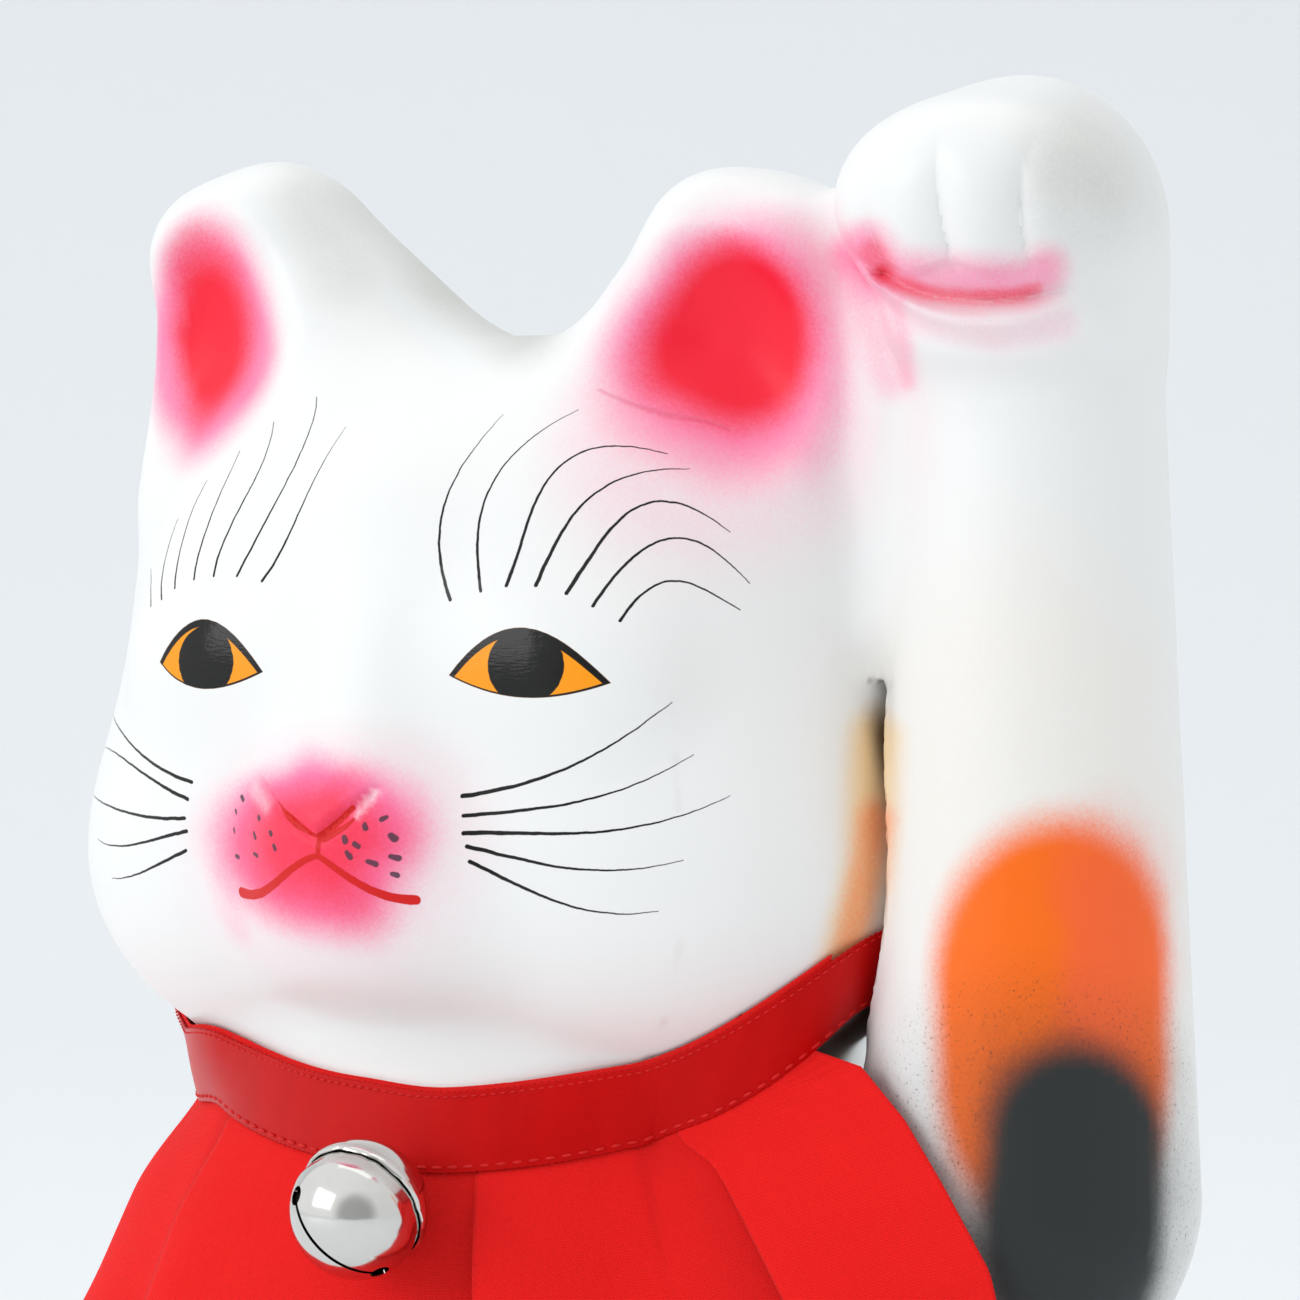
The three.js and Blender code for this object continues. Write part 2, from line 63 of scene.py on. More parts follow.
class ClaySettings(bpy.types.PropertyGroup):
    glaze: bpy.props.FloatVectorProperty(
        name="Glaze", description="Colour of the white glaze", subtype="COLOR", size=3, min=0, max=1,
        default=(0.88, 0.885, 0.875))
    pink: bpy.props.FloatVectorProperty(
        name="Pink spray", description="Colour of the thin pink spray in the ears and on the muzzle",
        subtype="COLOR", size=3, min=0, max=1, default=(1.0, 0.20, 0.42))
    rose: bpy.props.FloatVectorProperty(
        name="Rose spray", description="Colour of the thick pink spray at the core of the ears",
        subtype="COLOR", size=3, min=0, max=1, default=(0.93, 0.012, 0.040))
    orange: bpy.props.FloatVectorProperty(
        name="Orange spray", description="Colour of the orange patches", subtype="COLOR", size=3, min=0,
        max=1, default=(1.0, 0.16, 0.004))
    charcoal: bpy.props.FloatVectorProperty(
        name="Charcoal spray", description="Colour of the dark patches", subtype="COLOR", size=3, min=0,
        max=1, default=(0.022, 0.027, 0.028))
    amber: bpy.props.FloatVectorProperty(
        name="Amber enamel", description="Colour of the irises", subtype="COLOR", size=3, min=0, max=1,
        default=(1.0, 0.34, 0.006))
    black: bpy.props.FloatVectorProperty(
        name="Black enamel", description="Colour of the lids, pupils, brows and whiskers",
        subtype="COLOR", size=3, min=0, max=1, default=(0.008, 0.008, 0.008))
    lip_red: bpy.props.FloatVectorProperty(
        name="Lip red", description="Colour of the painted mouth", subtype="COLOR", size=3, min=0, max=1,
        default=(0.68, 0.006, 0.005))


class CollarSettings(bpy.types.PropertyGroup):
    ribbon_height: bpy.props.FloatProperty(
        name="Ribbon height", description="Width of the satin ribbon from edge to edge", unit="LENGTH",
        default=0.0136, min=0.01, max=0.016)
    bib_drop: bpy.props.FloatProperty(
        name="Bib drop", description="How far the bib hangs below the ribbon", unit="LENGTH",
        default=0.066, min=0.04, max=0.07)
    stitch_pitch: bpy.props.FloatProperty(
        name="Stitch pitch", description="Distance from one stitch to the next", unit="LENGTH",
        default=0.0029, min=0.002, max=0.005)
    satin: bpy.props.FloatVectorProperty(
        name="Satin", description="Colour of the ribbon", subtype="COLOR", size=3, min=0, max=1,
        default=(0.56, 0.003, 0.003))
    cotton: bpy.props.FloatVectorProperty(
        name="Cotton", description="Colour of the bib", subtype="COLOR", size=3, min=0, max=1,
        default=(0.95, 0.010, 0.009))


class BellSettings(bpy.types.PropertyGroup):
    radius: bpy.props.FloatProperty(
        name="Bell radius", description="Outer radius of the bell", unit="LENGTH", default=0.0118,
        min=0.01, max=0.012)
    wall: bpy.props.FloatProperty(
        name="Bell wall", description="Thickness of the pressed metal", unit="LENGTH", default=0.0006,
        min=0.0004, max=0.001)
    nickel: bpy.props.FloatVectorProperty(
        name="Nickel", description="Colour of the plating", subtype="COLOR", size=3, min=0, max=1,
        default=(0.70, 0.69, 0.665))


class StageSettings(bpy.types.PropertyGroup):
    backdrop: bpy.props.FloatVectorProperty(
        name="Backdrop", description="Colour of the floor and the wall behind", subtype="COLOR", size=3,
        min=0, max=1, default=(0.87, 0.895, 0.915))
    key_power: bpy.props.FloatProperty(
        name="Window", description="Power of the large soft light at the front left", unit="POWER",
        default=8.5, min=0, max=2000)
    ambience: bpy.props.FloatProperty(
        name="Ambience", description="Brightness of the white room round the object", default=0.98, min=0,
        max=4)
    side_light: bpy.props.FloatProperty(
        name="Side light", description="How much brighter the room is at the left than at the right",
        default=0.2, min=0, max=1)


# Forms of the clay. Each function takes points as rows and gives distances, negative inside.

def length(rows):
    return np.sqrt((rows * rows).sum(axis=-1))


def egg(points, at, size, tilt=0.0, roll=0.0, turn=0.0):
    local = points - np.array(at, float)
    if tilt or roll or turn:
        turned = Euler((math.radians(tilt), math.radians(roll), math.radians(turn)), "XYZ").to_matrix()
        local = local @ np.array(turned)
    size = np.array(size, float)
    reach = length(local / size)
    return reach * (reach - 1) / (length(local / size**2) + 1e-9)


def limb(points, start, end, thick):
    start = np.array(start, float)
    axis = np.array(end, float) - start
    r1, r2 = thick
    long = axis @ axis
    taper = r1 - r2
    side = long - taper * taper
    local = points - start
    along = local @ axis
    past = along - long
    out = ((local * long - along[:, None] * axis) ** 2).sum(axis=1)
    along_part = along * along * long
    past_part = past * past * long
    cone = np.sign(taper) * taper * taper * out
    body = (np.sqrt(out * side / long) + along * taper) / long - r1
    head = np.sqrt(out + past_part) / long - r2
    foot = np.sqrt(out + along_part) / long - r1
    return np.where(np.sign(past) * side * past_part > cone, head,
                    np.where(np.sign(along) * side * along_part < cone, foot, body))


def blend(a, b, reach):
    h = np.maximum(reach - np.abs(a - b), 0) / reach
    return np.minimum(a, b) - h * h * reach / 4


def carve(solid, tool, reach):
    return -blend(-solid, tool, reach)


def smoothstep(x, low, high):
    t = np.clip((x - low) / (high - low), 0, 1)
    return t * t * (3 - 2 * t)


def sideways(points, softness=0.0):
    folded = points.copy()
    folded[:, 0] = np.hypot(points[:, 0], softness)
    return folded


def ear_depth(points, side, drop):
    p = points * (side, 1, 1) + (0, 0, drop)
    rims = blend(limb(p, (21, -17, 42), (48, -12, 76.5), (11, 12.5)),
                 limb(p, (59, -12, 73), (61, -15, 30), (13, 11)), 5)
    hoop = blend(rims, limb(p, (48, -12, 76.5), (59, -12, 73), (12.5, 13)), 5)
    ear = blend(hoop, limb(p, (41, 12, 28), (53, 4, 73), (39, 16)), 14)
    return carve(ear, egg(p, (53, -30, 54), (19.5, 11, 24), tilt=-6, turn=24), 7)


def head_depth(points):
    p = points - (0, 0, EYE_HEIGHT)
    soft = sideways(p, 12.0)
    head = blend(egg(p, (0, 3, -6), (77, 60, 62)), egg(soft, (30, 2, 12), (44, 50, 43)), 16)
    head = blend(head, egg(soft, (31, -4, -38), (56, 51, 42)), 20)
    head = blend(head, egg(p, (0, -44, -41), (26, 21, 19)), 14)
    head = blend(head, limb(p, (0, -38, 20), (0, -53.5, -26), (10, 10)), 18)
    head = blend(head, egg(sideways(p), (33, -42, -1), (21, 11, 14)), 12)
    return blend(head, np.minimum(ear_depth(p, 1, 4.5), ear_depth(p, -1, 0)), 10)


def body_depth(points):
    folded = sideways(points)
    body = blend(egg(points, (0, 7, 224), (61, 52, 48)), egg(points, (0, 4, 150), (82, 68, 84)), 26)
    body = blend(body, egg(points, (0, 20, 66), (102, 94, 104)), 50)
    foreleg = limb(points, (-56, -20, 150), (-50, -62, 60), (26, 21))
    forepaw = limb(points, (-50, -62, 60), (-48, -78, 16), (21, 19))
    body = blend(body, blend(foreleg, forepaw, 8), 16)
    body = blend(body, egg(folded, (76, 16, 50), (40, 64, 58)), 22)
    body = blend(body, egg(folded, (84, -54, 12), (21, 38, 18)), 22)
    return blend(body, egg(points, (26, 110, 34), (32, 18, 20)), 18)


def torso_depth(points):
    return blend(head_depth(points), body_depth(points), 8)


def arm_depth(points):
    p = points - (0, 0, EYE_HEIGHT)
    paw = egg(p, (105, -9, 73), (24.5, 25, 27))
    arm = blend(limb(p, (104, -3, -92), (106, -5, 50), (29.6, 21.3)), paw, 12)
    arm = blend(arm, egg(p, (106, -26, 77), (26, 22, 18), tilt=-20), 9)
    arm = blend(arm, egg(p, (107, -20, 57), (21, 15, 8)), 5)
    return blend(arm, egg(points, (74, 2, 176), (42, 40, 40)), 20)


def flank_reach(z):
    return 44 + (7 - 44) * smoothstep(z, 140, 212)


def angle_of(points):
    return np.degrees(np.arctan2(points[:, 0], NECK_AXIS_Y - points[:, 1]))


TOE_GROOVES = ((-54.5, -97, 15), (-43.5, -97, 15), (77, -90, 12), (90, -89, 12), (-77, -90, 12),
               (-90, -89, 12))


def toe_depth(points):
    return np.minimum.reduce([egg(points, place, (1.3, 6, 9)) for place in TOE_GROOVES])


def swell(distance, width):
    return np.exp(-(distance / width) ** 2)


def paw_marks(points):
    """Clay added to the raised paw: rounded fingers, the fold under their tips and the lip below it."""
    x, y, z = points[:, 0], points[:, 1], points[:, 2] - EYE_HEIGHT
    valleys = (80.0 + 0 * z, 93.0 + 0 * z, 106.8 + 0 * z, 118.6 + 0.127 * (z - 67.3), 133.0 + 0 * z)
    lift = np.zeros(len(points))
    for n, (left, right) in enumerate(itertools.pairwise(valleys)):
        share = np.clip(2 * (x - left) / (right - left) - 1, -1, 1)
        falling = 0.5 * share**2 + 0.5 * (1 - np.sqrt(1 - (0.9 * share) ** 2))
        within = (x >= left) & (x < right) & ((share > 0) if n == 0 else (share < 0) if n == 3 else True)
        top = np.where(share > 0, 80 if n == 0 else 90, 80 if n == 1 else 90)
        lift -= 3.0 * falling * within * smoothstep(z, top, top - 16)
    tips = 66.4 + 0.9 * np.cos((x - 93.0) * 2 * math.pi / 13.3)
    lift *= smoothstep(z, tips - 3.5, tips + 3.0)
    fold = 61.3 + 0.0135 * (x - 110) ** 2
    lip = 57.4 + 0.0155 * (x - 111) ** 2
    lift -= 0.9 * smoothstep(z, tips + 0.8, tips - 0.8) * smoothstep(z, fold - 3, fold)
    lift -= 0.9 * swell(z - fold, 1.3)
    lift += 1.1 * swell(z - lip, 1.5) - 0.6 * swell(z - lip + 3.6, 1.8)
    return lift * smoothstep(-y, 22, 31) * smoothstep(x, 84, 91) * smoothstep(-x, -129, -116)


def nose_marks(points):
    """Clay added to the muzzle: the nose stands up between two creases, over two whisker pads."""
    x, y, z = points[:, 0], points[:, 1], points[:, 2] - EYE_HEIGHT
    lift = 0.7 * swell(np.hypot(x + 12, z + 32), 8) + 0.7 * swell(np.hypot(x - 12, z + 32), 8)
    for start, end in (((-19.8, -18.8), (0.4, -29.2)), ((10.4, -20.0), (0.4, -29.2))):
        run = np.array(end) - start
        span = np.hypot(*run)
        share = ((x - start[0]) * run[0] + (z - start[1]) * run[1]) / span**2
        over = ((z - start[1]) * run[0] - (x - start[0]) * run[1]) / span * np.sign(run[0])
        reach = smoothstep(share, -0.08, 0.25) * smoothstep(-share, -1.1, -0.9)
        lift += reach * (0.55 * smoothstep(over, -0.5, 0.7) * swell(over, 6) - 0.6 * swell(over + 0.3, 1.0))
    return lift * smoothstep(-y, 45, 54)


def slot_depth(points, torso):
    """The knife cut between cheek and raised arm, wider towards the armpit."""
    z = points[:, 2]
    width = 2.2 + 1.6 * np.clip(2 * (295 - z) / 71, 0, 1)
    angle = angle_of(points)
    radius = np.hypot(points[:, 0], points[:, 1] - NECK_AXIS_Y)
    ends = np.maximum(50 - angle, angle - 126) * math.pi / 180 * radius
    return np.maximum.reduce([torso - width, 0.3 - torso, z - 295, 224 - z, ends])


def clay_depth(points):
    torso = torso_depth(points)
    web = limb(points - (0, 0, EYE_HEIGHT), (84, -4, 10), (80, -4, 74), (13, 13))
    clay = blend(torso, blend(arm_depth(points), web, 4), flank_reach(points[:, 2]))
    clay = carve(clay, toe_depth(points), 1.6)
    clay = carve(clay, slot_depth(points, torso), 0.7)
    clay = clay - paw_marks(points) - nose_marks(points)
    return carve(clay, points[:, 2], 2.5)


def drape_depth(points):
    """What the cloth lies on: it bridges the hollow between chest and shoulder."""
    reach = np.maximum(24, flank_reach(points[:, 2]))
    return blend(torso_depth(points), arm_depth(points), reach)


# Surface of a form, one point per cell that it passes through

def spread(stretches):
    places = []
    for (start, cell), (end, _) in zip(stretches, stretches[1:]):
        count = max(1, round((end - start) / cell))
        places.extend(np.linspace(start, end, count, endpoint=False))
    return np.array(places + [stretches[-1][0]])


def slope_of(depth, points, step=0.04):
    slopes = []
    for axis in np.eye(3) * step:
        slopes.append((depth(points + axis) - depth(points - axis)) / (2 * step))
    return np.stack(slopes, axis=1)


def settle(depth, points, limit=1.2):
    start = points.copy()
    for _ in range(3):
        slope = slope_of(depth, points)
        steepness = np.maximum((slope * slope).sum(axis=1), 0.2)
        points = points - slope * (depth(points) / steepness)[:, None]
    moved = length(points - start)
    return start + (points - start) * np.minimum(1, limit / np.maximum(moved, 1e-9))[:, None]


def sample(depth, xs, ys, zs, step=4):
    """The depth at each grid point; far from the surface a coarse reading stands for it."""
    shape = (len(xs), len(ys), len(zs))
    places = [np.asarray(axis)[np.minimum(np.arange(0, len(axis) + step, step), len(axis) - 1)]
              for axis in (xs, ys, zs)]
    coarse_points = np.stack(np.meshgrid(*places, indexing="ij"), axis=-1)
    coarse = depth(coarse_points.reshape(-1, 3)).reshape(coarse_points.shape[:3])
    nearest = [np.round(np.arange(len(axis)) / step).astype(int) for axis in (xs, ys, zs)]
    value = coarse[np.ix_(*nearest)].copy()
    near = np.abs(value) < 9.0
    index = np.argwhere(near)
    points = np.stack([np.asarray(axis)[index[:, n]] for n, axis in enumerate((xs, ys, zs))], axis=1)
    value[near] = np.concatenate([depth(part) for part in np.array_split(points, len(points) // 60000 + 1)])
    return value.reshape(shape)


def skin(depth, xs, ys, zs):
    value = sample(depth, xs, ys, zs)
    inside = value < 0
    places = (xs, ys, zs)
    cells, crossings = [], []
    for axis in range(3):
        forward = np.eye(3, dtype=int)[axis]
        cut = np.argwhere(inside != np.roll(inside, -1, axis))
        cut = cut[cut[:, axis] < value.shape[axis] - 1]
        ahead = cut + forward
        a, b = value[tuple(cut.T)], value[tuple(ahead.T)]
        point = np.stack([places[d][cut[:, d]] for d in range(3)], axis=1)
        point[:, axis] += a / (a - b) * (places[axis][ahead[:, axis]] - point[:, axis])
        u, v = np.eye(3, dtype=int)[(axis + 1) % 3], np.eye(3, dtype=int)[(axis + 2) % 3]
        ring = np.stack([cut, cut - u, cut - u - v, cut - v], axis=1)
        outward = inside[tuple(cut.T)]
        ring[~outward] = ring[~outward][:, ::-1]
        cells.append(np.ravel_multi_index(tuple(np.moveaxis(ring, 2, 0)), value.shape))
        crossings.append(point)
    quads = np.concatenate(cells)
    point = np.repeat(np.concatenate(crossings), 4, axis=0)
    _, vertex = np.unique(quads.ravel(), return_inverse=True)
    count = np.bincount(vertex)
    points = np.stack([np.bincount(vertex, weights=point[:, d]) / count for d in range(3)], axis=1)
    return settle(depth, points), vertex.reshape(-1, 4)


# Making pieces

def alone():
    for other in bpy.context.selected_objects:
        other.select_set(False)


def focus(piece):
    alone()
    piece.select_set(True)
    bpy.context.view_layer.objects.active = piece


def piece_of(name, points, faces, material):
    mesh = bpy.data.meshes.new(name)
    mesh.from_pydata((np.asarray(points) * MM).tolist(), [], np.asarray(faces).tolist())
    mesh.validate()
    mesh.materials.append(material)
    mesh.shade_smooth()
    piece = bpy.data.objects.new(name, mesh)
    bpy.context.scene.collection.objects.link(piece)
    return piece


def write_reading(piece, name, values):
    """Stores one number or three per point, or per corner, for the material to read."""
    values = np.asarray(values, dtype=np.float32)
    domain = "POINT" if len(values) == len(piece.data.vertices) else "CORNER"
    kind, key = ("FLOAT", "value") if values.ndim == 1 else ("FLOAT_VECTOR", "vector")
    piece.data.attributes.new(name, kind, domain).data.foreach_set(key, values.ravel())


def unwrap_grid(piece, places):
    """Lays each corner at its point's own place on the flat cloth, in metres."""
    layer = piece.data.uv_layers.new(name="cloth")
    corners = np.empty(len(piece.data.loops), dtype=np.int64)
    piece.data.loops.foreach_get("vertex_index", corners)
    layer.data.foreach_set("uv", (np.asarray(places)[corners] * MM).astype(np.float32).ravel())


def grid_faces(rows, columns, ring=False):
    faces = []
    last = columns if ring else columns - 1
    for row in range(rows - 1):
        for column in range(last):
            a, b = row * columns + column, row * columns + (column + 1) % columns
            faces.append((a, a + columns, b + columns, b))
    return faces


def apply_modifiers(piece):
    focus(piece)
    for modifier in list(piece.modifiers):
        bpy.ops.object.modifier_apply(modifier=modifier.name)


def stand_for(piece, slot, *nodes):
    if nodes:
        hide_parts(*nodes)
    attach(piece, "root")


# Shader building

class Nodes:
    """Adds nodes to one tree and wires them as they are made."""

    def __init__(self, tree):
        self.tree = tree

    def add(self, kind, inputs=(), **settings):
        node = self.tree.nodes.new(kind)
        for name, value in settings.items():
            setattr(node, name, value)
        for name, value in dict(inputs).items():
            self.feed(node.inputs[name], value)
        return node

    def feed(self, socket, value):
        if isinstance(value, bpy.types.NodeSocket):
            self.tree.links.new(value, socket)
        elif socket.type == "RGBA" and len(value) == 3:
            socket.default_value = (*value, 1)
        else:
            socket.default_value = value

    def math(self, operation, *values, clamp=False):
        node = self.add("ShaderNodeMath", enumerate(values), operation=operation, use_clamp=clamp)
        return node.outputs[0]

    def vector(self, operation, *values):
        node = self.tree.nodes.new("ShaderNodeVectorMath")
        node.operation = operation
        for n, value in enumerate(values):
            self.feed(node.inputs["Scale" if operation == "SCALE" and n == 1 else n], value)
        return node.outputs["Value" if operation in {"DOT_PRODUCT", "LENGTH", "DISTANCE"} else "Vector"]

    def ramp(self, value, low, high, smooth=True):
        node = self.add("ShaderNodeMapRange", {"Value": value, "From Min": low, "From Max": high},
                        interpolation_type="SMOOTHSTEP" if smooth else "LINEAR")
        return node.outputs["Result"]

    def mix(self, factor, a, b, mode="MIX"):
        node = self.tree.nodes.new("ShaderNodeMix")
        node.data_type = "RGBA"
        node.blend_type = mode
        self.feed(node.inputs["Factor"], factor)
        colours = [s for s in node.inputs if s.type == "RGBA"]
        self.feed(colours[0], a)
        self.feed(colours[1], b)
        return next(s for s in node.outputs if s.type == "RGBA")

    def noise(self, place, scale, detail=2.0, roughness=0.5):
        node = self.add("ShaderNodeTexNoise",
                        {"Vector": place, "Scale": scale, "Detail": detail, "Roughness": roughness})
        return node.outputs["Fac"]

    def group(self, name, **inputs):
        node = self.tree.nodes.new("ShaderNodeGroup")
        node.node_tree = bpy.data.node_groups[name]
        for key, value in inputs.items():
            self.feed(node.inputs[key.replace("_", " ").capitalize()], value)
        return node.outputs


def new_group(name, inputs, outputs):
    """Starts a shader node group. Inputs and outputs are pairs of a name and a socket kind."""
    tree = bpy.data.node_groups.new(name, "ShaderNodeTree")
    for label, kind, default in inputs:
        socket = tree.interface.new_socket(label, in_out="INPUT", socket_type=f"NodeSocket{kind}")
        if default is not None:
            socket.default_value = default
    for label, kind in outputs:
        tree.interface.new_socket(label, in_out="OUTPUT", socket_type=f"NodeSocket{kind}")
    entry = tree.nodes.new("NodeGroupInput")
    leave = tree.nodes.new("NodeGroupOutput")
    return Nodes(tree), entry.outputs, leave.inputs


def build_brush_line():
    """Turns a brush reading (offset, distance past the end, half width) into the mark's mask."""
    nodes, given, made = new_group("Brush line", [
        ("Reading", "Vector", None), ("Waver", "Float", 0.0), ("Edge", "Float", 0.07),
    ], [("Mask", "Float")])
    split = nodes.add("ShaderNodeSeparateXYZ", {"Vector": given["Reading"]}).outputs
    off = nodes.math("ADD", split["X"], given["Waver"])
    past = nodes.math("MAXIMUM", split["Y"], 0.0)
    away = nodes.math("SQRT", nodes.math("MULTIPLY_ADD", off, off, nodes.math("MULTIPLY", past, past)))
    gap = nodes.math("SUBTRACT", away, split["Z"])
    nodes.feed(made["Mask"], nodes.ramp(gap, given["Edge"], nodes.math("MULTIPLY", given["Edge"], -1.0)))


def build_airbrush():
    """Breaks a smooth amount of sprayed colour into fine droplets along its soft edge."""
    nodes, given, made = new_group("Airbrush grain", [
        ("Amount", "Float", 0.0), ("Grain", "Float", 0.5), ("Drift", "Float", 0.5), ("Speckle", "Float", 0.5),
        ("Spatter", "Float", 0.0),
    ], [("Mask", "Float")])
    edge = nodes.math("MULTIPLY", given["Amount"], nodes.math("SUBTRACT", 1.0, given["Amount"]))
    noise = nodes.math("MULTIPLY", nodes.math("SUBTRACT", given["Grain"], 0.5), given["Speckle"])
    noise = nodes.math("MULTIPLY_ADD", nodes.math("SUBTRACT", given["Drift"], 0.5), 0.8, noise)
    mist = nodes.math("MULTIPLY_ADD", edge, noise, given["Amount"], clamp=True)
    drops = nodes.math("MULTIPLY", nodes.ramp(given["Grain"], 0.63, 0.69), given["Spatter"])
    near = nodes.math("MULTIPLY", given["Amount"], 6.0, clamp=True)
    nodes.feed(made["Mask"], nodes.math("MAXIMUM", mist, nodes.math("MULTIPLY", drops, near)))


def build_weave():
    """Plain weave: warp and weft threads that pass over and under each other, from the cloth's own map."""
    nodes, given, made = new_group("Plain weave", [
        ("Cloth", "Vector", None), ("Threads per metre", "Float", 2400.0), ("Slub", "Float", 0.3),
    ], [("Height", "Float"), ("Shade", "Float")])
    split = nodes.add("ShaderNodeSeparateXYZ",
                      {"Vector": nodes.vector("SCALE", given["Cloth"], given["Threads per metre"])})
    u, v = split.outputs["X"], split.outputs["Y"]
    warp = nodes.math("ABSOLUTE", nodes.math("SINE", nodes.math("MULTIPLY", u, math.pi)))
    weft = nodes.math("ABSOLUTE", nodes.math("SINE", nodes.math("MULTIPLY", v, math.pi)))
    parity = nodes.math("ADD", nodes.math("FLOOR", u), nodes.math("FLOOR", v))
    over = nodes.math("PINGPONG", parity, 1.0)
    warp_up = nodes.math("MULTIPLY", warp, nodes.math("MULTIPLY_ADD", over, 0.6, 0.4))
    weft_up = nodes.math("MULTIPLY", weft, nodes.math("MULTIPLY_ADD", over, -0.6, 1.0))
    slub = nodes.noise(nodes.vector("MULTIPLY", given["Cloth"], (900.0, 160.0, 1.0)), 1.0, 2.0)
    height = nodes.math("MAXIMUM", warp_up, weft_up)
    nodes.feed(made["Height"], nodes.math("MULTIPLY_ADD", slub, given["Slub"], height))
    # The Shade output paints the raised threads lighter and the hollows between them darker, as painted light
    # and shade, with the slubs' own tone.
    nodes.feed(made["Shade"], nodes.math("MULTIPLY_ADD", height, 0.25, nodes.math("MULTIPLY", slub, 0.2)))


def new_material(name):
    material = bpy.data.materials.new(name)
    material.use_nodes = True
    nodes = Nodes(material.node_tree)
    shader = material.node_tree.nodes["Principled BSDF"]
    return material, nodes, shader


# Where the painter's brush went. Places are X and Z on the front elevation, Z counted from eye height.
# Each row: start, end, bow, skew, width at start, width at end.

BROWS = (
    (-48.5, 8.8, -53.9, 15.3, -0.3, 0.0, 0.35, 0.2),
    (-45.2, 10.2, -47.1, 24.5, 1.9, 0.0, 0.45, 0.15),
    (-41.9, 12.2, -41.2, 31.4, 1.9, -0.2, 0.45, 0.15),
    (-37.1, 13.9, -35.1, 36.8, 0.5, -1.2, 0.45, 0.15),
    (-32.1, 14.6, -30.1, 42.0, -2.0, -3.5, 0.5, 0.15),
    (-26.6, 14.7, -22.9, 46.5, -4.1, -2.1, 0.5, 0.15),
    (-20.6, 13.9, -12.7, 41.0, -2.0, 0.7, 0.6, 0.1),
    (19.3, 11.3, 18.8, 43.0, 4.1, -0.3, 0.6, 0.12),
    (24.9, 12.9, 32.6, 43.8, 6.6, 1.1, 0.6, 0.12),
    (29.5, 13.9, 49.7, 36.2, 9.6, 5.9, 0.7, 0.12),
    (34.9, 14.0, 53.6, 33.6, 6.0, 1.8, 0.75, 0.12),
    (40.4, 12.7, 61.7, 22.9, 9.3, 4.1, 0.75, 0.12),
    (45.0, 10.6, 64.9, 14.2, 9.5, 1.1, 0.6, 0.12),
    (49.5, 8.1, 64.0, 9.7, 5.8, -2.0, 0.5, 0.15),
)
WHISKERS = (
    (-35.6, -22.1, -78.6, -12.2, -1.1, -2.2, 0.7, 0.12),
    (-36.4, -25.2, -72.0, -18.6, -1.6, -1.2, 0.7, 0.12),
    (-37.0, -28.6, -77.3, -27.3, 0.6, -0.8, 0.7, 0.12),
    (-36.4, -30.9, -66.1, -34.7, 1.5, 0.9, 0.7, 0.12),
    (-36.6, -34.4, -59.9, -41.3, 1.0, 0.5, 0.7, 0.12),
    (23.2, -22.0, 57.2, -5.6, -3.2, -0.4, 0.8, 0.12),
    (23.7, -25.3, 60.0, -14.5, -2.8, -1.2, 0.7, 0.12),
    (24.0, -28.2, 65.7, -21.4, -2.8, -1.7, 0.8, 0.12),
    (24.7, -30.4, 60.2, -32.0, -2.4, -0.8, 0.7, 0.12),
    (25.3, -33.0, 56.5, -40.6, -2.7, -1.1, 0.7, 0.12),
)
MOUTH = (
    (-20.8, -40.5, 0.4, -32.3, -1.4, 1.9, 1.9, 1.1),
    (0.4, -32.3, 16.9, -39.6, -1.2, -0.8, 1.1, 1.7),
    (0.4, -32.5, 0.6, -29.0, 0.0, 0.0, 1.0, 0.9),
    (-9.9, -23.9, -5.4, -26.6, -0.2, 0.0, 0.3, 1.7),
    (-5.4, -26.6, 0.6, -29.2, -0.2, 0.0, 1.7, 0.5),
    (6.3, -24.1, 0.8, -29.2, 0.3, 0.0, 0.9, 1.5),
    (6.9, -26.0, 1.6, -29.3, 0.4, 0.0, 0.5, 1.5),
)
# Each dab on the whisker pads: its two ends and its widths there.
DABS = (
    (-22.4, -23.9, -21.8, -24.4, 0.8, 0.9), (-15.5, -26.8, -15.0, -27.1, 0.8, 0.9),
    (-23.8, -26.4, -23.5, -26.9, 0.5, 0.6), (-23.7, -29.6, -23.3, -30.2, 0.5, 0.6),
    (-16.3, -29.6, -15.6, -30.4, 0.7, 0.9), (-10.9, -29.0, -10.5, -29.3, 0.8, 1.0),
    (-9.6, -31.3, -9.3, -31.8, 0.9, 1.0), (-15.9, -33.2, -14.7, -33.4, 0.6, 0.8),
    (-22.4, -34.2, -21.5, -34.4, 0.7, 0.8), (5.6, -29.0, 5.8, -29.7, 0.9, 1.1),
    (7.6, -30.1, 8.2, -30.5, 1.1, 0.9), (6.1, -31.6, 6.7, -32.3, 0.8, 1.2),
    (9.8, -33.0, 11.1, -33.4, 0.8, 1.1), (13.3, -28.5, 13.9, -29.1, 0.9, 1.3),
    (13.5, -32.1, 14.6, -32.4, 0.8, 1.2), (13.7, -35.1, 14.4, -35.3, 0.8, 1.0),
    (11.6, -25.9, 12.2, -25.5, 0.9, 0.7), (8.9, -26.8, 9.2, -27.4, 0.8, 1.0),
)
# The ear crease: a dark red line in the clay crease, partly pink spray pooled there and partly painted shade.
EAR_CREASE = ((34.8, 47.3, 48.1, 42.6, -0.3, 0.0, 0.3, 0.8), (48.1, 42.6, 56.5, 40.3, 0.4, 0.0, 0.8, 0.2))

# Per eye: left corner, right corner, upper bow and skew, lower bow and skew, pupil centre, pupil radii.
EYES = (
    ((-43.22, -0.96), (-18.25, -1.93), (8.19, -2.35), (-3.88, 1.04), (-31.6, -0.45), (6.5, 6.35)),
    ((20.30, -1.51), (49.12, -2.27), (8.64, -1.44), (-3.06, 0.03), (34.6, 0.5), (6.95, 6.6)),
)
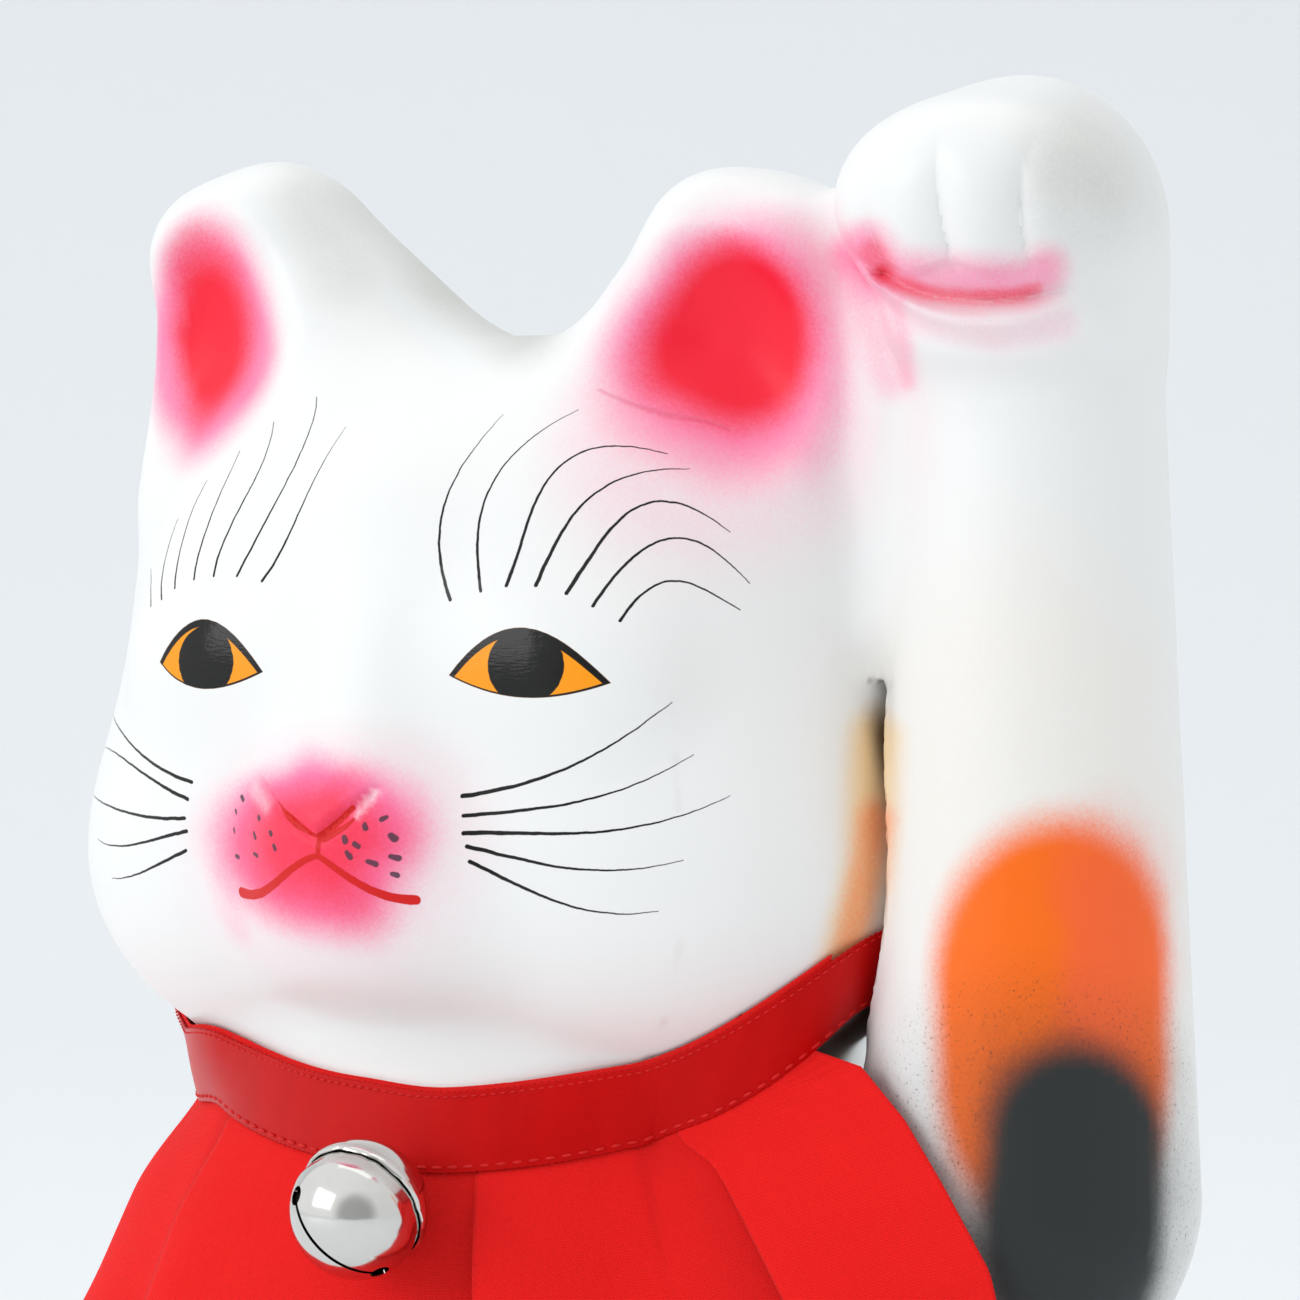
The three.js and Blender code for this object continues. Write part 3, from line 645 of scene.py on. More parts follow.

# Airbrushed colour and painted shade. A patch is seen from an azimuth and has a colour, the centre's place
# across and up from eye height, its radius at every 30 degrees from straight across, its softness and its
# strength.
PATCHES = (
    # Grey on the raised paw's right side: painted shade.
    ("grey_shade", 30, (93, 84), (13, 12, 11, 10, 9, 9, 9, 11, 13, 14, 14, 14), 0.8, 0.5),
    # A thin cream tint over the middle of the raised arm: partly sprayed colour and partly painted shade.
    ("cream_and_shade", 30, (84, -14), (26, 26, 30, 34, 30, 24, 22, 26, 34, 60, 60, 40), 0.5, 0.12),
    ("pink", 0, (-59.5, 56.8), (21, 20, 22.9, 21.8, 15.9, 14.1, 13.5, 14, 16.3, 19.5, 24, 24), 0.25, 0.9),
    ("rose", 0, (-59.5, 56.8), (12, 13, 17, 18, 11, 8, 7, 7, 9.5, 14, 15, 13), 0.42, 1.0),
    ("pink", 0, (55.1, 57.7), (24, 30, 24, 22, 20, 21, 24, 28, 34, 38, 38, 28), 0.3, 0.22),
    ("pink", 0, (55.1, 57.7), (18.5, 19.1, 20.1, 17.9, 17.2, 17.5, 20.6, 22, 21.5, 24, 26.4, 21.9),
     0.27, 0.88),
    ("rose", 0, (55.1, 57.7), (14.5, 15.2, 15.4, 15, 14, 13.5, 15.5, 17, 15.5, 16.5, 17.5, 15.5), 0.27, 1.0),
    ("pink", 0, (0.4, -28), (27, 24, 19, 17, 18, 24, 33, 36, 28, 24, 26, 27), 0.3, 0.16),
    ("pink", 0, (0.4, -28), (17.8, 15.6, 12.3, 12.1, 13, 17.2, 28, 25.2, 19, 18.3, 19, 17.7), 0.3, 1.0),
    ("rose", 0, (0.4, -28), (13, 10, 9, 8, 8, 12, 20, 20, 15, 14, 15, 13), 0.55, 0.85),
    ("orange", 30, (91, -60), (19, 21.8, 30.5, 36, 31, 23.5, 20.3, 22.8, 30, 34, 29, 22), 0.14, 1.0),
    ("coral", 30, (98, -44), (11, 12, 16, 18, 14, 8, 6, 7, 14, 24, 18, 13), 0.6, 0.55),
    ("charcoal", 30, (96.8, -84), (18, 19, 24, 27, 32, 32, 33, 40, 54, 50, 30, 21), 0.45, 0.42),
    ("charcoal", 30, (96.8, -84), (12.5, 14, 18, 22.3, 24, 20.5, 19, 23, 31, 35, 23, 14), 0.2, 1.0),
    ("orange", 180, (30, 20), (38, 36, 32, 30, 34, 40, 38, 33, 30, 34, 38, 40), 0.26, 1.0),
    ("charcoal", 150, (-30, -6), (24, 27, 30, 32, 28, 25, 24, 27, 30, 30, 27, 25), 0.26, 1.0),
    ("charcoal", 200, (30, -190), (44, 46, 50, 48, 44, 42, 46, 50, 52, 50, 46, 44), 0.24, 1.0),
    ("orange", 150, (-52, -214), (38, 40, 42, 40, 36, 36, 38, 40, 42, 42, 40, 38), 0.24, 1.0),
)
# Lines of spray, grey lines of painted shade, and lines that the spray missed, which stay white as a painted
# highlight beside the nose creases: azimuth, places across and up, half width and strength.
PASSES = (
    # Grey along the inner side and edge of the ear on the cat's right, down to the saddle between the ears:
    # painted shade.
    ("grey_shade", 30, ((-28, 88), (-14, 70), (0, 60)), 7.0, 0.8),
    ("grey_shade", 30, ((-40, 84), (-34, 70)), 6.0, 0.25),
    # Cream beside the slot between cheek and arm: partly sprayed colour and partly painted shade.
    ("cream_and_shade", 30, ((61.5, -12), (60, -34), (54.5, -56)), 3.9, 0.9),
    ("orange", 30, ((61.5, -26), (59.8, -36), (56, -52)), 3.0, 0.5),
    ("pink", 30, ((58.5, 70), (62, 66), (68, 64.8), (76, 64), (84, 64), (87, 65.5)), 3.6, 0.7),
    ("rose", 30, ((59.5, 69.5), (61.5, 66.5)), 1.7, 0.5),
    ("rose", 30, ((61.5, 66.2), (64, 64.4), (69, 62.6), (75, 61.8), (82, 61.8), (86, 62.8)), 1.1, 0.5),
    ("pink", 30, ((67.7, 58.2), (80.3, 55.5), (89.9, 57.1)), 2.8, 0.22),
    ("pink", 30, ((57.0, 70.6), (60.4, 62.4), (62.4, 55.6), (64.2, 49)), 3.2, 0.36),
    ("pink", 30, ((64.1, 61.2), (65.5, 55), (67.0, 48)), 1.0, 0.25),
    ("pink", 0, ((-27, -39), (-24, -47)), 3.5, 0.2),
    # White left where the spray missed below the nose creases: this white also stands as a painted highlight
    # on the facets there.
    ("bare", 0, ((9.6, -21.8), (7.4, -25.2)), 0.8, 0.6),
    ("bare", 0, ((-18.5, -22.6), (-13.0, -24.9)), 1.4, 0.4),
)
SPRAY_AND_SHADE_ORDER = ("grey_shade", "cream_and_shade", "pink", "rose", "orange", "coral", "charcoal")


def bowed(start, end, bow, skew, share):
    """Points on a bowed line on the front elevation, one for each share of its chord."""
    chord = np.array(end) - start
    across = np.array([-chord[1], chord[0]]) / np.hypot(*chord)
    arch = 4 * share * (1 - share) * (bow + skew * (2 * share - 1))
    return np.array(start) + share[:, None] * chord + arch[:, None] * across


def read_stroke(row, places):
    """How places lie to a stroke: signed offset, distance past its nearer end, and half its width there."""
    path = bowed(row[0:2], row[2:4], row[4], row[5], np.linspace(0, 1, 33))
    step = np.diff(path, axis=0)
    span = np.hypot(step[:, 0], step[:, 1])
    before = np.concatenate([[0.0], np.cumsum(span)])
    local = places[:, None, :] - path[None, :-1]
    along = (local * step).sum(axis=2) / span
    low = np.where(np.arange(len(span)) == 0, -99.0, 0.0)
    high = np.where(np.arange(len(span)) == len(span) - 1, 99.0, span)
    held = np.clip(along, low, high)
    side = (local[:, :, 1] * step[:, 0] - local[:, :, 0] * step[:, 1]) / span
    distance = np.hypot(side, along - held)
    best = distance.argmin(axis=1)
    rows = np.arange(len(places))
    arc = before[best] + held[rows, best]
    offset = distance[rows, best] * np.where(side[rows, best] < 0, -1, 1)
    past = np.maximum(-arc, arc - before[-1])
    share = np.clip(arc / before[-1], 0, 1)
    return np.stack([offset, past, (row[6] + (row[7] - row[6]) * share) / 2], axis=1)


def lay_strokes(points, faces, strokes, layers=1):
    """For each face the strokes nearest to it, read at each of its corners, one array for each layer."""
    corners = points[faces][:, :, (0, 2)] - (0, EYE_HEIGHT)
    centres = corners.mean(axis=1)
    front = points[faces][:, :, 1].mean(axis=1) < -10
    gaps = np.full((len(strokes), len(faces)), 99.0)
    for n, row in enumerate(strokes):
        low, high = np.minimum(row[0:2], row[2:4]), np.maximum(row[0:2], row[2:4])
        bulge = abs(row[4]) + abs(row[5]) + 3
        near = front & (centres > low - bulge).all(axis=1) & (centres < high + bulge).all(axis=1)
        reading = read_stroke(row, centres[near])
        gaps[n, near] = np.hypot(reading[:, 0], np.maximum(reading[:, 1], 0)) - reading[:, 2]
    order = np.argsort(gaps, axis=0)
    laid = np.tile((50.0, 0.0, 0.0), (layers, len(faces), 4, 1))
    for layer in range(layers):
        for n, row in enumerate(strokes):
            mine = (order[layer] == n) & (gaps[n] < 20)
            laid[layer, mine] = read_stroke(row, corners[mine].reshape(-1, 2)).reshape(-1, 4, 3)
    return laid.reshape(layers, -1, 3)


def eye_readings(points):
    """Distances under the upper lid line, over the lower one and out from the pupil, and the share along."""
    place = points[:, (0, 2)] - (0, EYE_HEIGHT)
    readings = []
    for left, right, upper, lower, pupil, radii in EYES:
        chord = np.array(right) - left
        span = np.hypot(*chord)
        local = place - left
        share = (local @ chord) / span**2
        off = (local[:, 1] * chord[0] - local[:, 0] * chord[1]) / span
        gaps = []
        for bow, skew in (upper, lower):
            arch, sway = 4 * share * (1 - share), 2 * share - 1
            line = arch * (bow + skew * sway)
            slope = (-4 * sway * (bow + skew * sway) + 2 * arch * skew) / span
            gaps.append((off - line) / np.sqrt(1 + slope**2))
        reach = (length((place - pupil) / radii) - 1) * sum(radii) / 2
        readings.append(np.stack([-gaps[0], gaps[1], reach, share], axis=1))
    eyes = np.where(points[:, :1] < 0, readings[0], readings[1])
    eyes[points[:, 1] > -10, 0] = -9
    return np.clip(eyes, -20, 20)


def seen_from(azimuth, points):
    """Places across and up from eye height as seen from an azimuth, and how near they are."""
    turn = math.radians(azimuth)
    across = points[:, 0] * math.cos(turn) + points[:, 1] * math.sin(turn)
    near = points[:, 0] * math.sin(turn) - points[:, 1] * math.cos(turn)
    return across, points[:, 2] - EYE_HEIGHT, near


# Amounts of sprayed colour, painted shade and painted highlight at each point.
def spray_and_shade_amounts(points):
    amounts = {name: np.zeros(len(points)) for name in SPRAY_AND_SHADE_ORDER + ("bare",)}
    nearest = {0: 8.0, 30: 46.0}

    def lay(name, amount):
        amounts[name] = 1 - (1 - amounts[name]) * (1 - amount)

    for name, azimuth, centre, radii, softness, strength in PATCHES:
        across, up, near = seen_from(azimuth, points)
        angle = np.degrees(np.arctan2(up - centre[1], across - centre[0])) % 360
        smooth = np.fft.irfft(np.fft.rfft(radii), 360) * 30
        radius = np.interp(angle, np.arange(361), np.append(smooth, smooth[0]))
        reach = np.hypot(across - centre[0], up - centre[1]) / radius
        low = nearest.get(azimuth, 10.0)
        facing = smoothstep(near, low - 4, low + 4)
        lay(name, strength * facing * smoothstep(-reach, -1 - softness, -1 + softness))
    for name, azimuth, chain, half, strength in PASSES:
        across, up, near = seen_from(azimuth, points)
        gap = np.full(len(points), 99.0)
        for (x0, z0), (x1, z1) in itertools.pairwise(chain):
            run = (x1 - x0, z1 - z0)
            share = ((across - x0) * run[0] + (up - z0) * run[1]) / (run[0] ** 2 + run[1] ** 2)
            share = np.clip(share, 0, 1)
            gap = np.minimum(gap, np.hypot(across - x0 - share * run[0], up - z0 - share * run[1]))
        low = -45.0 if name == "grey_shade" else min(nearest[azimuth], 42.0)
        facing = smoothstep(near, low - 4, low + 4)
        lay(name, strength * facing * smoothstep(-gap, -1.7 * half, -0.2 * half))
    # Along the nose creases the pink and rose are taken away, leaving white that is also a painted highlight.
    bare = amounts.pop("bare")
    for name in ("pink", "rose"):
        amounts[name] *= 1 - bare
    return amounts


def build_glaze(settings):
    """White glaze under brushed enamel and airbrushed colour, with painted shade and painted highlight among
    them, laid by the figure's own readings.
    """
    material, nodes, shader = new_material("painted glaze")
    coordinates = nodes.add("ShaderNodeTexCoord").outputs["Object"]
    place = nodes.vector("SCALE", coordinates, 1000.0)
    breath = nodes.noise(place, 0.02, 3.0)
    drift = nodes.noise(place, 0.13, 2.0)
    grain = nodes.noise(place, 1.7, 2.0, 0.7)

    def reading(name, socket="Vector"):
        return nodes.add("ShaderNodeAttribute", attribute_name=name).outputs[socket]

    colours = {
        "pink": settings.pink, "rose": settings.rose, "orange": settings.orange,
        # The cream is partly painted shade.
        "charcoal": settings.charcoal, "cream_and_shade": (0.92, 0.66, 0.34), "coral": (1.0, 0.12, 0.05),
        # The grey of the painted shade.
        "grey_shade": (0.56, 0.56, 0.52),
    }
    colour = nodes.mix(nodes.math("MULTIPLY", breath, 0.10), tuple(settings.glaze), (0.83, 0.84, 0.85))
    spray_and_shade_mask = None
    # Sprayed colours and the painted shade, laid in order.
    for name in SPRAY_AND_SHADE_ORDER:
        mask = nodes.group("Airbrush grain", Amount=reading(name, "Fac"), Grain=grain, Drift=drift,
                           Speckle=1.6, Spatter=0.75 if name == "charcoal" else 0.0)["Mask"]
        colour = nodes.mix(mask, colour, tuple(colours[name]))
        spray_and_shade_mask = mask if spray_and_shade_mask is None else nodes.math("MAXIMUM", spray_and_shade_mask, mask)

    # Dark brown in the narrow slot between cheek and arm: partly the bare cut clay, partly painted shade.
    slot_clay_and_shade = reading("slot_clay_and_shade", "Fac")
    colour = nodes.mix(slot_clay_and_shade, colour, (0.10, 0.045, 0.022))
    height_over_floor = nodes.add("ShaderNodeSeparateXYZ", {"Vector": place}).outputs["Z"]
    foot = nodes.ramp(height_over_floor, 1.2, 0.3)
    colour = nodes.mix(foot, colour, (0.62, 0.50, 0.38))

    waver = nodes.math("MULTIPLY_ADD", nodes.noise(place, 0.45, 3.0), 0.36, -0.18)
    lips = None
    for layer in ("lips_1", "lips_2", "lips_3"):
        mark = nodes.group("Brush line", Reading=reading(layer), Waver=waver, Edge=0.1)["Mask"]
        lips = mark if lips is None else nodes.math("MAXIMUM", lips, mark)
    # Darker red along the ear crease: pooled spray and painted shade.
    crease_pool_and_shade = nodes.group("Brush line", Reading=reading("crease_pool_and_shade"), Waver=waver, Edge=0.35)["Mask"]
    colour = nodes.mix(nodes.math("MULTIPLY", crease_pool_and_shade, 0.4), colour, (0.72, 0.10, 0.18))
    colour = nodes.mix(lips, colour, tuple(settings.lip_red))
    dots = nodes.group("Brush line", Reading=reading("dots"), Waver=waver, Edge=0.1)["Mask"]
    colour = nodes.mix(nodes.math("MULTIPLY", dots, 0.9), colour, (0.05, 0.035, 0.06))

    eye = nodes.add("ShaderNodeSeparateXYZ", {"Vector": reading("eye")}).outputs
    under_lid, over_lower, off_pupil = eye["X"], eye["Y"], eye["Z"]
    share = reading("eye_share", "Fac")
    within = nodes.math("MINIMUM", nodes.ramp(under_lid, -0.07, 0.07), nodes.ramp(over_lower, -0.07, 0.07))
    arch = nodes.math("MULTIPLY", share, nodes.math("SUBTRACT", 1.0, share))
    lid_width = nodes.math("MULTIPLY_ADD", arch, 1.6, 0.95)
    lid = nodes.ramp(nodes.math("SUBTRACT", under_lid, lid_width), 0.08, -0.08)
    rim_width = nodes.math("MULTIPLY_ADD", share, 0.18, 0.24)
    rim = nodes.ramp(nodes.math("SUBTRACT", over_lower, rim_width), 0.07, -0.07)
    pupil = nodes.ramp(nodes.math("ADD", off_pupil, waver), 0.08, -0.08)
    black = nodes.math("MULTIPLY", nodes.math("MAXIMUM", nodes.math("MAXIMUM", lid, rim), pupil), within)
    colour = nodes.mix(within, colour, tuple(settings.amber))
    lines = nodes.group("Brush line", Reading=reading("brush"), Waver=waver, Edge=0.07)["Mask"]
    enamel = nodes.math("MAXIMUM", lines, black)
    colour = nodes.mix(enamel, colour, tuple(settings.black))
    nodes.feed(shader.inputs["Base Color"], colour)

    smear = nodes.noise(nodes.vector("MULTIPLY", place, (0.12, 0.12, 0.7)), 1.0, 4.0, 0.6)
    gloss = nodes.math("MULTIPLY_ADD", spray_and_shade_mask, 0.10, nodes.math("MULTIPLY_ADD", breath, 0.10, 0.27))
    gloss = nodes.math("MULTIPLY_ADD", nodes.math("MAXIMUM", foot, slot_clay_and_shade), 0.6, gloss, clamp=True)
    polish = nodes.math("MULTIPLY_ADD", smear, 0.22, -0.33)
    gloss = nodes.math("MULTIPLY_ADD", enamel, polish, gloss, clamp=True)
    nodes.feed(shader.inputs["Roughness"], gloss)

    paint = nodes.math("MAXIMUM", nodes.math("MAXIMUM", lines, within), nodes.math("MAXIMUM", lips, dots))
    height = nodes.math("MULTIPLY", nodes.noise(place, 0.35, 3.0), 0.05)
    height = nodes.math("MULTIPLY_ADD", paint, 0.06, height)
    bristles = nodes.noise(nodes.vector("MULTIPLY", place, (0.5, 1.0, 3.0)), 1.0, 3.0)
    height = nodes.math("MULTIPLY_ADD", nodes.math("MULTIPLY", within, bristles), 0.035, height)
    height = nodes.math("MULTIPLY_ADD", crease_pool_and_shade, -0.14, height)
    bump = nodes.add("ShaderNodeBump", {"Height": height, "Distance": 0.001, "Strength": 1.0})
    nodes.feed(shader.inputs["Normal"], bump.outputs["Normal"])
    shader.inputs["Specular IOR Level"].default_value = 0.28
    return material


def build_satin(settings):
    """Red satin with fine ribs along its length."""
    material, nodes, shader = new_material("red satin")
    cloth = nodes.add("ShaderNodeUVMap", uv_map="cloth").outputs["UV"]
    ribs = nodes.noise(nodes.vector("MULTIPLY", cloth, (60.0, 5200.0, 1.0)), 1.0, 2.0)
    folds = nodes.noise(nodes.vector("MULTIPLY", cloth, (130.0, 40.0, 1.0)), 1.0, 3.0)
    weave = nodes.group("Plain weave", Cloth=cloth, Threads_per_metre=3600.0, Slub=0.1)
    # Painted sheen and shade: the satin is lighter and darker across its ribs and its broad folds.
    shade = nodes.math("MULTIPLY_ADD", ribs, 0.35, nodes.math("MULTIPLY", folds, 0.5))
    dark = tuple(c * 0.72 for c in settings.satin)
    light = tuple(min(1, c * 1.25) for c in settings.satin)
    colour = nodes.mix(shade, dark, light)
    nodes.feed(shader.inputs["Base Color"], colour)
    nodes.feed(shader.inputs["Roughness"], nodes.math("MULTIPLY_ADD", folds, 0.12, 0.30))
    height = nodes.math("MULTIPLY_ADD", ribs, 0.03, nodes.math("MULTIPLY", weave["Height"], 0.02))
    bump = nodes.add("ShaderNodeBump", {"Height": height, "Distance": 0.001, "Strength": 0.7})
    nodes.feed(shader.inputs["Normal"], bump.outputs["Normal"])
    shader.inputs["Specular IOR Level"].default_value = 0.6
    shader.inputs["Specular Tint"].default_value = (1.0, 0.10, 0.10, 1.0)
    return material


def build_cotton(settings):
    """Red plain-woven cotton, matt, with slubs in its threads, raised threads painted lighter and painted
    shadow by the pleats' folded edges.
    """
    material, nodes, shader = new_material("red cotton")
    cloth = nodes.add("ShaderNodeUVMap", uv_map="cloth").outputs["UV"]
    weave = nodes.group("Plain weave", Cloth=cloth, Threads_per_metre=2300.0, Slub=0.5)
    mottle = nodes.noise(nodes.vector("SCALE", cloth, 90.0), 1.0, 3.0)
    dark = tuple(c * 0.84 for c in settings.cotton)
    light = tuple(min(1.0, c * 1.12 + 0.006) for c in settings.cotton)
    # The cotton is lighter on its raised threads, as painted light, and mottled.
    colour = nodes.mix(nodes.math("MULTIPLY_ADD", mottle, 0.3, weave["Shade"], clamp=True), dark, light)
    # Painted shadow on the cloth just before each pleat's folded edge.
    pleat_shadow = nodes.add("ShaderNodeAttribute", attribute_name="pleat_shadow").outputs["Fac"]
    shaded = tuple(c * 0.4 for c in settings.cotton)
    colour = nodes.mix(nodes.math("MULTIPLY", pleat_shadow, 0.55), colour, shaded)
    nodes.feed(shader.inputs["Base Color"], colour)
    nodes.feed(shader.inputs["Roughness"], nodes.math("MULTIPLY_ADD", mottle, 0.1, 0.84))
    bump = nodes.add("ShaderNodeBump", {"Height": nodes.math("MULTIPLY", weave["Height"], 0.12),
                                        "Distance": 0.001, "Strength": 0.8})
    nodes.feed(shader.inputs["Normal"], bump.outputs["Normal"])
    shader.inputs["Specular IOR Level"].default_value = 0.12
    shader.inputs["Sheen Weight"].default_value = 0.04
    shader.inputs["Sheen Roughness"].default_value = 0.5
    return material


def build_thread(settings):
    """Twisted red sewing thread."""
    material, nodes, shader = new_material("sewing thread")
    place = nodes.add("ShaderNodeTexCoord").outputs["Object"]
    twist = nodes.noise(nodes.vector("SCALE", place, 2600.0), 1.0, 2.0)
    base = settings.satin
    colour = nodes.mix(twist, tuple(c * 0.8 for c in base), tuple(min(1, c * 1.5 + 0.01) for c in base))
    nodes.feed(shader.inputs["Base Color"], colour)
    nodes.feed(shader.inputs["Roughness"], nodes.math("MULTIPLY_ADD", twist, 0.2, 0.5))
    shader.inputs["Specular IOR Level"].default_value = 0.3
    return material


def build_nickel(settings):
    """Bright nickel plating with faint press marks."""
    material, nodes, shader = new_material("nickel plating")
    place = nodes.add("ShaderNodeTexCoord").outputs["Object"]
    haze = nodes.noise(nodes.vector("SCALE", place, 420.0), 1.0, 4.0, 0.6)
    colour = nodes.mix(haze, tuple(settings.nickel), tuple(c * 0.9 for c in settings.nickel))
    nodes.feed(shader.inputs["Base Color"], colour)
    nodes.feed(shader.inputs["Roughness"], nodes.math("MULTIPLY_ADD", haze, 0.09, 0.07))
    shader.inputs["Metallic"].default_value = 1.0
    ripple = nodes.noise(nodes.vector("SCALE", place, 260.0), 1.0, 2.0)
    bump = nodes.add("ShaderNodeBump", {"Height": ripple, "Distance": 0.00004, "Strength": 0.6})
    nodes.feed(shader.inputs["Normal"], bump.outputs["Normal"])
    return material


# The ceramic cat

CELLS_X = ((-122, 3.4), (-84, 2.2), (-24, 1.0), (16, 1.9), (66, 0.95), (122, 1.6), (132, 2.4), (142, 0))
CELLS_Y = ((-104, 2.6), (-72, 1.2), (-30, 1.9), (-10, 2.8), (40, 3.4), (136, 0))
CELLS_Z = ((-4, 3.2), (180, 2.3), (222, 1.6), (262, 1.0), (282, 1.6), (350, 0.9), (374, 1.2), (403, 0))


class MANEKI_OT_cat(bpy.types.Operator):
    """Make the ceramic figure and its painted glaze"""
    bl_idname = "maneki.cat"
    bl_label = "Ceramic cat"

    def execute(self, context):
        build_brush_line()
        build_airbrush()
        glaze = build_glaze(context.scene.maneki_clay)
        points, faces = skin(clay_depth, spread(CELLS_X), spread(CELLS_Y), spread(CELLS_Z))
        cat = piece_of("glazed_cat", points, faces, glaze)
        normals = slope_of(clay_depth, points)
        cat.data.normals_split_custom_set_from_vertices((normals / length(normals)[:, None]).tolist())
        torso = torso_depth(points)
        # Dark brown on the slot's walls, as bare cut clay and as painted shade.
        slot_clay_and_shade_amount = smoothstep(-slot_depth(points, torso), -0.9, -0.2) * smoothstep(points[:, 1], -18, -12)
        slot_clay_and_shade_amount *= smoothstep(-points[:, 1], -8, 2) * smoothstep(-points[:, 2], -295, -284)
        write_reading(cat, "slot_clay_and_shade", slot_clay_and_shade_amount)
        for name, amount in spray_and_shade_amounts(points).items():
            write_reading(cat, name, amount)
        eyes = eye_readings(points)
        write_reading(cat, "eye", eyes[:, :3])
        write_reading(cat, "eye_share", eyes[:, 3])
        write_reading(cat, "brush", lay_strokes(points, faces, BROWS + WHISKERS)[0])
        write_reading(cat, "crease_pool_and_shade", lay_strokes(points, faces, EAR_CREASE)[0])
        touches = [row[:4] + (0.0, 0.0) + row[4:] for row in DABS]
        write_reading(cat, "dots", lay_strokes(points, faces, touches)[0])
        for layer, lips in enumerate(lay_strokes(points, faces, MOUTH, layers=3), start=1):
            write_reading(cat, f"lips_{layer}", lips)
        stand_for(cat, "glaze", "cat")
        return {"FINISHED"}


# The collar

BIB_FROM = -104.0
BIB_TO = 68.0
BIB_FOLDS = (-72.0, -40.0, 21.0, 54.0)


def around(angle, radius, z):
    a = np.radians(angle)
    return np.stack([radius * np.sin(a), NECK_AXIS_Y - radius * np.cos(a), z], axis=-1)


def reach_of(depth, angle, z, gap):
    """How far out from the neck's axis a form's surface lies, moved out by a gap."""
    angle, z, gap = np.broadcast_arrays(np.asarray(angle, float), z, gap)
    reach = np.full(angle.size, 30.0)
    flat = [angle.ravel(), z.ravel(), gap.ravel()]

    def clear(radius):
        return depth(around(flat[0], radius, flat[1])) > flat[2]

    for _ in range(70):
        stuck = ~clear(reach)
        if not stuck.any():
            break
        reach = reach + 2.0 * stuck
    low, high = reach - 2.0, reach
    for _ in range(12):
        middle = (low + high) / 2
        out = clear(middle)
        high = np.where(out, middle, high)
        low = np.where(out, low, middle)
    return high.reshape(angle.shape)


def ribbon_top(angle):
    """Height of the ribbon's top edge: low under the chin and the left cheek, high in the slot."""
    climb = smoothstep(angle, 47, 75) * (1 - smoothstep(angle, 110, 160))
    rise = 18 * (1 - np.cos(np.radians(np.minimum(np.abs(angle), 95))))
    left = 1 - smoothstep(-angle, 84, 112)
    under_jaw = 7.5 * smoothstep(-angle, 42, 68) * left
    return 222.7 + 1.2 * smoothstep(-angle, -15, 5) * left + rise + 17 * climb - under_jaw


class Collar:
    """The ribbon's path round the neck, measured once and read by the ribbon, the bib and the stitches."""

    def __init__(self, height):
        self.angles = np.linspace(-180, 180, 241)
        self.top = ribbon_top(self.angles)
        place = around(self.angles, reach_of(torso_depth, self.angles, self.top, 1.0), self.top)
        run = length(np.gradient(place[:, :2], axis=0))
        slope = np.clip(np.gradient(self.top) / run, 0, 0.75) * smoothstep(self.angles, 0, 40)
        self.height = height * np.sqrt(1 + slope**2)
        past = np.maximum.reduce([BIB_FROM - self.angles, self.angles - BIB_TO, np.zeros(241)])
        gap = 0.8 + 0.6 * (1 - smoothstep(past, 0, 7))
        rows = np.linspace(0, 1, 7)
        reaches = np.stack([reach_of(torso_depth, self.angles, self.top - self.height * share, gap)
                            for share in rows])
        in_slot = smoothstep(self.angles, 45, 58) * (1 - smoothstep(self.angles, 95, 115))
        reaches[-1] += in_slot * np.maximum(reaches[0] - 5 - reaches[-1], 0)
        straight = reaches[0] + (reaches[-1] - reaches[0]) * rows[:, None]
        bulge = np.maximum(reaches - straight, 0).max(axis=0)
        self.high = reaches[0] + bulge
        self.low = reaches[-1] + bulge

    def line(self, angle, down, outward):
        angle, down, outward = np.broadcast_arrays(np.asarray(angle, float), down, outward)
        high, low, top, height = (np.interp(angle, self.angles, row)
                                  for row in (self.high, self.low, self.top, self.height))
        return around(angle, high + (low - high) * down + outward, top - height * down)


def arc_lengths(points):
    return np.concatenate([[0.0], np.cumsum(length(np.diff(points, axis=0)))])


def finish_cloth(piece, thickness):
    wall = piece.modifiers.new("thickness", "SOLIDIFY")
    wall.thickness = thickness * MM
    wall.offset = 0.0
    apply_modifiers(piece)


